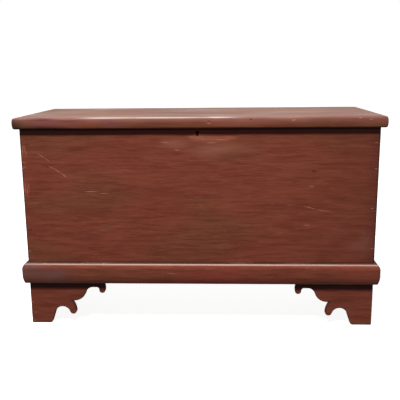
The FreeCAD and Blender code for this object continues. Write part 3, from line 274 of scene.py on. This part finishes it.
def sink_unevenly(bm, depth, reach, seed=0.0):
    """Sinks the surface by up to depth in soft hollows, as the hand plane and long use leave it."""
    bm.normal_update()
    sinks = [v.normal * depth * (0.5 + 0.5 * noise.noise(v.co / reach + Vector((seed, 0, seed))))
             for v in bm.verts]
    for vertex, sink in zip(bm.verts, sinks):
        vertex.co -= sink


def finish_piece(bm, node, body, materials, which=lambda face: 0):
    """Makes the mesh an object that stands for the node. which gives the number of each face's material."""
    bm.normal_update()
    for face in bm.faces:
        face.material_index = int(which(face))
    mesh = bpy.data.meshes.new(f"{node}_finished")
    bm.to_mesh(mesh)
    bm.free()
    mesh.attributes.remove(mesh.attributes["custom_normal"])  # these fit the unworn shape only
    mesh.shade_smooth()
    mesh.set_sharp_from_angle(angle=math.radians(35))
    for material in materials:
        mesh.materials.append(material)
    piece = bpy.data.objects.new(f"{node}_finished", mesh)
    bpy.context.scene.collection.objects.link(piece)
    keep_flat = piece.modifiers.new("flat_faces_stay_flat", "WEIGHTED_NORMAL")
    keep_flat.keep_sharp = True
    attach(piece, body)
    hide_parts(node)
    return piece


paint_along = red_paint("iron_oxide_paint_lengthwise", "x")
paint_across = red_paint("iron_oxide_paint_crosswise", "y")
paint_front = red_paint("iron_oxide_paint_front", "x", surface=case_front, fades=(
    ("x", 0.25, 0.54, 0.30, "5c2f20"),
    ("x", 0.500, 0.532, 0.30, "4c1e1e"),
    ("x", 0.534, 0.539, 0.60, "2a1a18"),  # both corners are darkened: painted shade on arrises turned away from the light
    ("x", -0.535, -0.540, 0.60, "34140f"),
    ("z", 0.605, 0.612, 0.62, "9c2a1e"),  # a redder band painted where the lid's cast shadow falls, to give that shadow its red: painted shade
    ("z", 0.6175, 0.6195, 0.90, "180202"),  # and a near-black line of painted shade just under the lip
    # Above that line, behind the lip, the band goes back to a brown red.
    ("z", 0.6240, 0.6255, 0.90, "6a2a1c"),
), marks=(
    ("c78c72", 0.85, False, (  # scratches, and paint gone from the pins' edges
        (-449, 507, 13, 0.8, -22), (-430, 496, 15, 0.9, -32), (-411, 482, 12, 1.0, -42),
        (-478, 543, 14, 0.7, -30), (-460, 530, 14, 0.7, -40),
        (-535, 561, 22, 0.9, 90), (-529, 566, 16, 0.8, 90), (-524, 552, 12, 0.7, 90),
        (-534, 440, 26, 0.9, 90), (-528, 432, 18, 0.8, 90), (-523, 446, 12, 0.7, 90),
        (-532, 523, 7, 1.1, -10), (-533, 509, 7, 1.0, -20), (-537, 504, 6, 0.9, 0), (-537, 439, 6, 1.3, 0),
        (-537, 372, 6, 1.0, 0), (-536, 307, 7, 1.1, 0), (-534, 241, 7, 1.0, -8),
        (528, 578, 7, 0.9, 0), (532, 500, 6, 1.0, 0), (526, 379, 6, 0.8, 0), (532, 252, 6, 0.9, 0),
        (338, 381, 24, 0.8, -14), (378, 372, 24, 0.7, -11), (-99, 582, 16, 1.1, 0), (-64, 559, 12, 0.8, -4),
        (-20, 598, 10, 1.2, 0), (16, 591, 12, 1.2, 0), (70, 590, 26, 1.2, -3), (40, 580, 20, 1.0, 0),
        (-330, 432, 26, 0.8, 0), (-290, 426, 18, 0.7, 0), (330, 326, 12, 0.8, 0), (343, 448, 9, 0.9, 0))),
    ("b4604e", 0.75, True, (  # paint worn thin by the key and the hand that turns it
        (0, 594, 30, 14, 0), (48, 591, 66, 12, 0), (90, 595, 34, 9, 0))),
    ("9c6552", 0.55, True, ((20, 590, 80, 20, 0), (-70, 580, 70, 22, 0), (60, 560, 120, 30, 0))),
    ("9c4838", 0.40, True, (  # a redder coat that shows by the keyhole and up the left corner
        (-14, 592, 14, 8, 0), (10, 584, 22, 9, 0), (-531, 560, 9, 36, 0), (-532, 438, 14, 44, 0))),
    ("8a5a4e", 0.30, True, ((512, 270, 34, 60, 0), (500, 258, 70, 30, 0))),  # greyed by handling
    ("94463a", 0.35, False, (  # long scuffs
        (405, 366, 44, 3, -22), (430, 312, 60, 3, -10), (330, 318, 50, 4, 8))),
    ("a08468", 0.40, False, (  # the coat drawn thin by the brush
        (-290, 326, 22, 0.8, 0), (-262, 322, 28, 0.8, 0), (-272, 314, 20, 0.8, 0), (-300, 308, 18, 0.8, 0),
        (-250, 284, 16, 0.8, 0), (-318, 421, 20, 0.7, 0))),
    ("34160f", 0.60, False, (  # knocks, and dirt in the joints
        (-536, 514, 6, 2.2, 0), (-535, 372, 7, 2.2, -15), (-531, 308, 10, 4, 10), (347, 493, 9, 4, -10))),
    ("4a2015", 0.5, True, ((450, 548, 40, 14, 0), (400, 515, 110, 6, 0), (-365, 566, 60, 10, 0))),  # stains
    ("2e120c", 0.9, False, ((0, 206, 2500, 2.5, 0),)),  # a dark line of painted shade in the crease along the top of the base moulding
))
pine_along = bare_pine("old_pine_lengthwise", "x", "a9825a", "8a6340")
pine_across = bare_pine("old_pine_crosswise", "y", "a9825a", "8a6340")
pine_back = bare_pine("weathered_pine_back", "x", "8f6f4e", "6f5136", ring_gap=0.009)


def on_corner(edge):
    """An arris that runs up one of the case's corners."""
    middle = (edge.verts[0].co + edge.verts[1].co) / 2
    upright = abs((edge.verts[0].co - edge.verts[1].co).normalized().z) > 0.9
    return (upright and case_end - abs(middle.x) < TOUCHING
            and min(middle.y - case_front, case_back - middle.y) < TOUCHING)


PAINT_REACH = 0.0012  # how far the brush went round an arris


def painted_side(face):
    """0 for a painted face, 1 for one that the painter didn't reach, and 2 for a joint's end on the front."""
    middle = face.calc_center_median()
    if min(case_end - abs(middle.x), middle.y - case_front) > PAINT_REACH:
        return 1
    return 2 if face.normal.y < -0.9 else 0


CORNER_WEAR, JOINT_WEAR, BOARD_STRIP = (0.0022, 0.00035, 0.025)
for node, across, materials in (
    ("front_board", 0, (paint_front, pine_along, paint_front)),
    ("back_board", 0, (paint_along, pine_back, paint_along)),
    ("left_end_board", 1, (paint_across, pine_across, paint_front)),
    ("right_end_board", 1, (paint_across, pine_across, paint_front)),
):
    bm = merged_copy(node)
    # The case's upright corners are rounded and marked dark: painted shade where they turn away from the
    # light.
    ease(bm, CORNER_WEAR, on_corner, wear_and_shade=-1)
    ease(bm, JOINT_WEAR, wear_and_shade=0)
    cut_across(bm, across, BOARD_STRIP)
    cut_across(bm, 2, BOARD_STRIP)
    sink_unevenly(bm, PLANED_DEPTH, reach=0.09)
    finish_piece(bm, node, "case", materials,
                 painted_side)

# ---------------------------------------------------------------------------------------------------------
# The bottom: three 22 mm pine boards laid lengthwise under the case with a gap to move in, and nailed up into
# its rim. They were sawn, never planed and never painted.
# ---------------------------------------------------------------------------------------------------------
for node in ("bottom_board_front", "bottom_board_middle", "bottom_board_back"):
    bm = merged_copy(node)
    ease(bm, width=0.0008, shortest=0.01)
    cut_across(bm, 0, step=0.06)
    sink_unevenly(bm, depth=0.0004, reach=0.12, seed=len(node))
    finish_piece(bm, node, "case", [pine_back])

# Iron cut from a plate and long rusted: nearly black and dull, with pits of about 1 mm that have gone brown.
nail_iron, tree = blank_material("rusted_cut_nail_iron")
place = add_node(tree, "ShaderNodeTexCoord", output="Object")
pits = add_node(tree, "ShaderNodeTexNoise", {0: place, "Scale": 900, "Detail": 3})
rusty = lay_over(tree, linear("2b2420"), ((pits, 0.45, 0.65, 0.8, "5a3523"),))
pitted = add_node(tree, "ShaderNodeBump", {"Height": pits, "Strength": 1, "Distance": 0.0002})
shader = add_node(tree, "ShaderNodeBsdfPrincipled", {
    "Base Color": rusty, "Metallic": 0.3, "Roughness": 0.75, "Normal": pitted})
add_node(tree, "ShaderNodeOutputMaterial", {"Surface": shader})


def keep_node(node, material):
    """Shows a CAD node as it is, in its own finish."""
    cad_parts[node].data.materials.clear()
    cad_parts[node].data.materials.append(material)


keep_node("bottom_board_nails", nail_iron)

# ---------------------------------------------------------------------------------------------------------
# The base moulding: a half-round pine strip, mitred round the front corners, glued and bradded over the
# joint between the case and its bottom, and painted with the case. Its front corners are knocked round.
# ---------------------------------------------------------------------------------------------------------
moulding_end, moulding_front = (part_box("base_moulding_right")[1].x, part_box("base_moulding_front")[0].y)
moulding_thick = case_front - moulding_front
MITRE_REACH, MITRE_STEP = (0.022, 0.0014)  # how much of a mitred end is cut closely, and how closely
SUNK = 0.001  # more than the plane takes off a face


def wear_corners_round(bm, half_width, front, thick, radius):
    """Rounds the front's upright corners. Both pieces of a mitre take the same curve, so it stays closed."""
    for vertex in bm.verts:
        side, depth = (half_width - abs(vertex.co.x), vertex.co.y - front)
        inner, apart = (min(side, depth), abs(side - depth))
        if apart < radius and inner < thick:
            turn = math.radians(45) * (1 - apart / radius)
            amount = min(1, (thick - inner) / radius)
            along = inner + radius * (1 - math.sin(turn))
            in_from_face = inner + radius * (1 - math.cos(turn))
            new_side, new_depth = (along, in_from_face) if side > depth else (in_from_face, along)
            vertex.co.x = math.copysign(half_width - side - (new_side - side) * amount, vertex.co.x)
            vertex.co.y = front + depth + (new_depth - depth) * amount


def cut_for_corners(bm, half_width, front, axis):
    """Cuts a moulding closely near its mitred ends, so that they can be rounded."""
    if axis == 0:
        cut_across(bm, 0, MITRE_STEP, low=half_width - MITRE_REACH, high=half_width)
        cut_across(bm, 0, MITRE_STEP, low=-half_width, high=-half_width + MITRE_REACH)
    else:
        cut_across(bm, 1, MITRE_STEP, low=front, high=front + MITRE_REACH)


def end_of_run(face):
    """A moulding's sawn end at the back of the case, which was left bare."""
    return face.normal.y > 0.9 and face.calc_center_median().y > case_back - SUNK


def finish_moulding(name, body, step, reach, seed, ends, paints):
    """Finishes a moulding's three mitred lengths. ends is (half width, front, thickness, corner radius), and
    paints are those of the front length and of the two that run back."""
    half_width, front = ends[:2]
    for part, axis in (("front", 0), ("left", 1), ("right", 1)):
        bm = merged_copy(f"{name}_{part}")
        ease(bm, width=0.0004, shortest=0.02, wear_and_shade=0)
        cut_across(bm, axis, step)
        cut_for_corners(bm, half_width, front, axis)
        sink_unevenly(bm, PLANED_DEPTH, reach, seed=seed + axis)
        wear_corners_round(bm, *ends)
        finish_piece(bm, f"{name}_{part}", body, (paints[axis], pine_across), end_of_run)


# The paint is rubbed pale along the strip's upper edge, with a painted highlight there too. Behind that, in
# the corner by the case, lies a dark line of painted shade, and the strip is darker towards the bottom.
MOULDING_RUB_HIGHLIGHT_AND_SHADE = (("z", 0.1984, 0.2006, 0.52, "d8b8aa"), ("z", 0.2024, 0.2034, 0.97, "3a170f"),
            ("z", 0.160, 0.139, 0.30, "54251a"))
paint_moulding_x = red_paint(
    "iron_oxide_paint_moulding_front", "x", shift=5.3, surface=moulding_front, fades=MOULDING_RUB_HIGHLIGHT_AND_SHADE, marks=(
        ("6a5150", 0.55, True, ((-530, 180, 90, 60, 0), (-470, 165, 110, 40, 0))),  # greyed by handling
        ("8c3c34", 0.6, True, ((480, 172, 130, 44, 0), (60, 168, 160, 30, 0))),  # redder, less handled
        ("b57d63", 0.7, False, (  # chips
            (-485, 203, 8, 1.8, 0), (-299, 203, 8, 1.6, 0), (-85, 174, 20, 1.2, -8))),
    ))
paint_moulding_y = red_paint("iron_oxide_paint_moulding_side", "y", shift=2.9, fades=MOULDING_RUB_HIGHLIGHT_AND_SHADE)
MOULDING_CORNER = 0.003
finish_moulding("base_moulding", "case", step=0.014, reach=0.035, seed=0,
                ends=(moulding_end, moulding_front, moulding_thick, MOULDING_CORNER),
                paints=(paint_moulding_x, paint_moulding_y))
keep_node("base_moulding_brads", paint_moulding_x)  # their heads were painted over

# ---------------------------------------------------------------------------------------------------------
# The bracket feet: scroll-sawn pine, mitred at the front corners and plain at the back, held by nails and by
# square glue blocks in their angles. Dirt sits in the sawn edges, and the toes are scuffed round.
# ---------------------------------------------------------------------------------------------------------
FOOT_EASE, FOOT_CORNER, HEEL_WEAR = (0.0018, 0.0018, 0.005)
FOOT_STRIP, HEEL_STRIP = (0.012, 0.0012)
HEEL_LENGTH, HEEL_HEIGHT = (0.007, 0.006)  # the part by a heel that is cut closely, so that it can be rounded
foot_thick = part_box("foot_front_left_face")[1].y - case_front


def round_off(bm, first, second, radius):
    """Pulls in what stands outside a rounded corner. first and second are (axis, place, which way is in)."""
    (a, at_a, way_a), (b, at_b, way_b) = (first, second)
    for vertex in bm.verts:
        out = Vector((radius - (vertex.co[a] - at_a) * way_a, radius - (vertex.co[b] - at_b) * way_b))
        if min(out) > 0 and out.length > radius:
            out *= radius / out.length
            vertex.co[a] = at_a + way_a * (radius - out.x)
            vertex.co[b] = at_b + way_b * (radius - out.y)


def off_the_mitre(edge):
    """An arris that isn't in the joint of two mitred brackets, which has to stay closed."""
    return any(abs(case_end - abs(v.co.x) - (v.co.y - case_front)) > TOUCHING for v in edge.verts)


def inner_side(face):
    """The back of a bracket, which faces the glue blocks and was never painted."""
    middle = face.calc_center_median()
    faces_in = face.normal.y > 0.7 or face.normal.x * middle.x < -0.7 * abs(middle.x)
    return faces_in and min(case_end - abs(middle.x), middle.y - case_front) > foot_thick - SUNK


FOOT_PAINTED_SHADE = (("z", 0.1115, 0.1150, 0.75, "4a100c"), ("z", 0.128, 0.134, 0.95, "240403"))  # painted shade under the moulding, where its shadow falls on the feet
paint_foot_x = red_paint(
    "iron_oxide_paint_foot_front", "x", shift=8.1, surface=case_front, fades=FOOT_PAINTED_SHADE, marks=(
        ("b98f74", 0.6, False, ((-535, 71, 4, 2, 0), (-527, 37, 3, 2, 0), (-532, 9, 4, 2, 0))),  # nail heads
    ))
paint_foot_y = red_paint("iron_oxide_paint_foot_side", "y", shift=6.7, fades=FOOT_PAINTED_SHADE)
for node, axis, paint in (
    ("foot_front_left_face", 0, paint_foot_x), ("foot_front_right_face", 0, paint_foot_x),
    ("foot_front_left_side", 1, paint_foot_y), ("foot_front_right_side", 1, paint_foot_y),
    ("foot_back_left_side", 1, paint_foot_y), ("foot_back_right_side", 1, paint_foot_y),
):
    bm = merged_copy(node)
    ease(bm, FOOT_EASE, off_the_mitre, wear_and_shade=-1)
    wall = case_back if "back" in node else case_front
    corner = ((0, math.copysign(case_end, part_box(node)[0].x), -math.copysign(1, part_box(node)[0].x)),
              (1, wall, 1 if wall < 0 else -1))
    cut_across(bm, axis, FOOT_STRIP)
    heel, inward = corner[axis][1:]
    heel_in = heel + inward * HEEL_LENGTH
    cut_across(bm, axis, HEEL_STRIP, low=min(heel, heel_in), high=max(heel, heel_in))
    cut_across(bm, 2, FOOT_STRIP)
    cut_across(bm, 2, HEEL_STRIP, low=0, high=HEEL_HEIGHT)
    sink_unevenly(bm, PLANED_DEPTH, reach=0.05, seed=3)
    for side in corner:
        round_off(bm, side, (2, 0, 1), HEEL_WEAR)
    if wall < 0:
        wear_corners_round(bm, case_end, case_front, foot_thick, FOOT_CORNER)
    finish_piece(bm, node, "case", (paint, pine_back), inner_side)
for node in ("foot_back_left_plain", "foot_back_right_plain"):
    bm = merged_copy(node)
    ease(bm, FOOT_EASE)
    finish_piece(bm, node, "case", [pine_back])
pine_upright = bare_pine("old_pine_block", "z", "9a744e", "7d5a3a")
for spot in ("front_left", "front_right", "back_left", "back_right"):
    bm = merged_copy(f"foot_block_{spot}")
    ease(bm, width=0.001, shortest=0.01)
    finish_piece(bm, f"foot_block_{spot}", "case", [pine_upright])
keep_node("foot_nails", paint_foot_x)  # driven flush and painted over

# ---------------------------------------------------------------------------------------------------------
# The till: a small lidded tray of thin pine at the left end, let into grooves in the front and back boards.
# Its lid turns on two round tenons cut in one with it.
# ---------------------------------------------------------------------------------------------------------
pine_till = bare_pine("handled_pine_till", "y", "a07a52", "81603d", ring_gap=0.005)
for node, body in (("till_front", "case"), ("till_bottom", "case"), ("till_lid", "till_lid")):
    bm = merged_copy(node)
    ease(bm, width=0.0009, shortest=0.006)
    cut_across(bm, 1, step=0.03)
    sink_unevenly(bm, depth=0.0002, reach=0.07, seed=2)
    finish_piece(bm, node, body, [pine_till])

# ---------------------------------------------------------------------------------------------------------
# The lid: one wide pine board, with a thick bull-nosed moulding mitred round its front and ends. Its top is
# worn through to brown wood, with painted sheen towards the front. The moulding is knocked here and there,
# and carries painted sheen and a painted highlight along its upper edge.
# ---------------------------------------------------------------------------------------------------------
lid_end, lid_front = (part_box("lid_moulding_right")[1].x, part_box("lid_moulding_front")[0].y)
lip_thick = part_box("lid_moulding_front")[1].y - lid_front
paint_lid = red_paint("worn_paint_and_sheen_lid_top", "x", shift=1.9, thin=0.85, fades=(
    ("y", -0.05, -0.23, 0.08, "c8b4ae"),  # paler towards the front: painted sheen
    ("x", 0.05, 0.50, 0.40, "7d4436"),  # redder towards the right
))
LIP_PAINTED_SHEEN_AND_BROWN = (("z", 0.640, 0.660, 0.16, "c8b4b2"), ("z", 0.637, 0.624, 0.4, "5e2e1e"))  # painted sheen above, browner towards the bottom
paint_lip_x = red_paint(
    "handled_paint_and_sheen_lip_front", "x", shift=4.4, thin=0.2, surface=lid_front, fades=LIP_PAINTED_SHEEN_AND_BROWN, marks=(
        ("32160f", 0.90, False, (  # dark by the left corner, under the edge
            (-556, 629, 48, 32, 0), (-475, 622, 130, 16, 0))),
        # darker along the right end of the upper edge: painted shade that dims the highlight there
        ("6b3a30", 0.45, False, ((540, 656, 280, 16, 0),)),
        ("6b4a35", 0.8, True, ((-520, 640, 50, 24, 0), (520, 630, 60, 8, 0))),  # worn brown at the corners
        ("7a4446", 0.75, True, (  # greyed by the hands that lift the lid
            (-440, 648, 130, 24, 0), (-250, 640, 60, 14, 0), (180, 650, 60, 12, 0))),
        ("4c2620", 0.55, True, ((-470, 654, 60, 8, 0), (-380, 648, 70, 6, 0), (-120, 640, 80, 6, 0))),
        ("ecd8d0", 0.75, True, (  # painted highlight along the upper edge
            (-260, 657.5, 120, 2.8, 0), (-90, 657.5, 180, 3.2, 0), (60, 657.5, 80, 2.4, 0))),
        ("c99678", 0.5, False, (  # chips down to the wood
            (33, 640, 7, 2, 0), (282, 648, 7, 2.6, 20), (475, 653, 4, 2, 0), (507, 649, 6, 1.6, 0))),
        ("2a0f0b", 0.8, False, ((157, 651, 4, 3, 0), (33, 646, 5, 1.6, 0))),  # knocks
    ))
paint_lip_y = red_paint("handled_paint_and_sheen_lip_side", "y", shift=7.2, thin=0.2, fades=LIP_PAINTED_SHEEN_AND_BROWN)


def underneath(face):
    """The lid's under face, which was never painted."""
    return face.normal.z < -0.7


bm = merged_copy("lid_board")
ease(bm, JOINT_WEAR, wear_and_shade=0)
cut_across(bm, 0, BOARD_STRIP)
cut_across(bm, 1, BOARD_STRIP)
sink_unevenly(bm, PLANED_DEPTH, reach=0.08, seed=5)
finish_piece(bm, "lid_board", "lid", (paint_lid, pine_along), underneath)
LIP_CORNER = 0.0035
finish_moulding("lid_moulding", "lid", step=0.012, reach=0.03, seed=6,
                ends=(lid_end, lid_front, lip_thick, LIP_CORNER), paints=(paint_lip_x, paint_lip_y))
keep_node("lid_moulding_brads", paint_lip_x)


# ---------------------------------------------------------------------------------------------------------
# The strap hinges: wrought iron hammered flat, its ends rolled round a pin. Rose-headed nails hold the leaves
# to the back board and to the underside of the lid. Black scale covers them, with rust here and there.
# ---------------------------------------------------------------------------------------------------------
def forged_iron(name, tone, rust, roughness):
    """Forged iron under black fire scale: dark and half dull, with shallow hammer dents 9 mm apart, scale in
    a grain of 2 mm, and brown rust in patches of about 20 mm. rust is how strongly that shows."""
    material, tree = blank_material(name)
    place = add_node(tree, "ShaderNodeTexCoord", output="Object")
    blows = add_node(tree, "ShaderNodeTexVoronoi", {0: place, "Scale": 110}, feature="SMOOTH_F1")
    scale = add_node(tree, "ShaderNodeTexNoise", {0: place, "Scale": 500, "Detail": 4})
    drift = add_node(tree, "ShaderNodeTexNoise", {0: place, "Scale": 45, "Detail": 4})
    colour = lay_over(tree, linear(tone), (
        (scale, 0.40, 0.70, 0.5, "57504a"),
        (drift, 0.52, 0.66, rust, "5c3422"),
        (scale, 0.62, 0.72, rust, "6e4128"),
    ))
    bare = add_node(tree, "ShaderNodeMapRange", {
        "Value": drift, "From Min": 0.50, "From Max": 0.64, "To Min": 0.85, "To Max": 0.2})
    dull = add_node(tree, "ShaderNodeMapRange", {
        "Value": scale, "From Min": 0.3, "From Max": 0.7, "To Min": roughness, "To Max": roughness + 0.2})
    hammered = add_node(tree, "ShaderNodeBump", {"Height": blows, "Strength": 1, "Distance": 0.0006})
    pitted = add_node(tree, "ShaderNodeBump", {
        "Height": scale, "Strength": 1, "Distance": 0.00015, "Normal": hammered})
    shader = add_node(tree, "ShaderNodeBsdfPrincipled", {
        "Base Color": colour, "Metallic": bare, "Roughness": dull, "Normal": pitted})
    add_node(tree, "ShaderNodeOutputMaterial", {"Surface": shader})
    return material


hinge_iron = forged_iron("hammered_wrought_iron", "3a3532", 0.6, 0.45)
for side in ("left", "right"):
    for leaf in ("back_strap", "lid_strap", "pin"):
        keep_node(f"hinge_{side}_{leaf}", hinge_iron)
for nails in ("back_strap_nails", "lid_strap_nails"):
    keep_node(nails, hinge_iron)

# ---------------------------------------------------------------------------------------------------------
# The lock: a filed iron plate let into the back of the front board, with its works under a riveted case, and
# a keeper under the lid that drops in for the bolt. It has rusted less than the hinges and is paler.
# ---------------------------------------------------------------------------------------------------------
lock_iron = forged_iron("filed_lock_iron", "47423e", 0.35, 0.38)
for node in ("lock_plate", "lock_case", "lock_post", "lock_spring", "lock_bolt", "lock_keeper"):
    keep_node(node, lock_iron)
for nails in ("lock_nails", "keeper_nails"):
    keep_node(nails, nail_iron)

# ---------------------------------------------------------------------------------------------------------
# The studio: a pale paper floor that goes to white in the distance, a key light from above the front, soft
# light from overhead and behind, and a camera that looks down a little from above the lid's height.
# ---------------------------------------------------------------------------------------------------------
FLOOR_HALF = 15
bm = bmesh.new()
bmesh.ops.create_grid(bm, x_segments=1, y_segments=1, size=FLOOR_HALF)
mesh = bpy.data.meshes.new("studio_floor")
bm.to_mesh(mesh)
bm.free()
floor = bpy.data.objects.new("studio_floor", mesh)
bpy.context.scene.collection.objects.link(floor)
floor.visible_diffuse = False
floor.visible_glossy = False
# Matt background paper, which also glows of itself, and more so further off, so that its edges never show.
paper, tree = blank_material("pale_paper")
place = add_node(tree, "ShaderNodeTexCoord", output="Object")
away = add_node(tree, "ShaderNodeVectorMath", {0: place}, output="Value", operation="LENGTH")
glow = add_node(tree, "ShaderNodeMapRange", {
    "Value": away, "From Min": 0.9, "From Max": 3.0, "To Min": 0.90, "To Max": 1.0})
shader = add_node(tree, "ShaderNodeBsdfPrincipled", {
    "Base Color": linear("ececec"), "Roughness": 0.9,
    "Emission Color": (1, 1, 1, 1), "Emission Strength": glow})
add_node(tree, "ShaderNodeOutputMaterial", {"Surface": shader})
mesh.materials.append(paper)

LOOK_AT = Vector((0, 0, 0.35))
for name, place, size_x, size_y, power, shines in (
    ("key", (-0.35, -2.2, 3.66), 0.7, 0.5, 188, False),
    ("overhead", (-0.2, -0.7, 2.6), 2.4, 0.9, 20, True),
    ("behind", (0, 4.0, 1.5), 5.0, 2.0, 28, True),
):
    light = bpy.data.lights.new(name, "AREA")
    light.shape = "RECTANGLE"
    light.size, light.size_y, light.energy = (size_x, size_y, power)
    lamp = bpy.data.objects.new(name, light)
    bpy.context.scene.collection.objects.link(lamp)
    lamp.location = place
    lamp.rotation_euler = (LOOK_AT - lamp.location).to_track_quat("-Z", "Y").to_euler()
    lamp.visible_camera = False
    lamp.visible_glossy = shines

world = bpy.data.worlds.new("studio_air")
bpy.context.scene.world = world
world.use_nodes = True
sky = world.node_tree
sky.nodes.clear()
fill = add_node(sky, "ShaderNodeBackground", {"Color": (1, 1, 1, 1), "Strength": 0.10})
white = add_node(sky, "ShaderNodeBackground", {"Color": (1, 1, 1, 1), "Strength": 1.0})
seen = add_node(sky, "ShaderNodeLightPath", output="Is Camera Ray")
air = add_node(sky, "ShaderNodeMixShader", {0: seen, 1: fill, 2: white})
add_node(sky, "ShaderNodeOutputWorld", {"Surface": air})
bpy.context.scene.view_settings.view_transform = "Standard"

camera = bpy.data.objects.new("camera", bpy.data.cameras.new("camera"))
bpy.context.scene.collection.objects.link(camera)
camera.data.sensor_width = 36
camera.data.lens = 55.233
camera.location = (0.0834, case_front - 1.8323, 0.7975)
camera.rotation_euler = [math.radians(a) for a in (77.924, 0.547, 2.358)]
bpy.context.scene.camera = camera
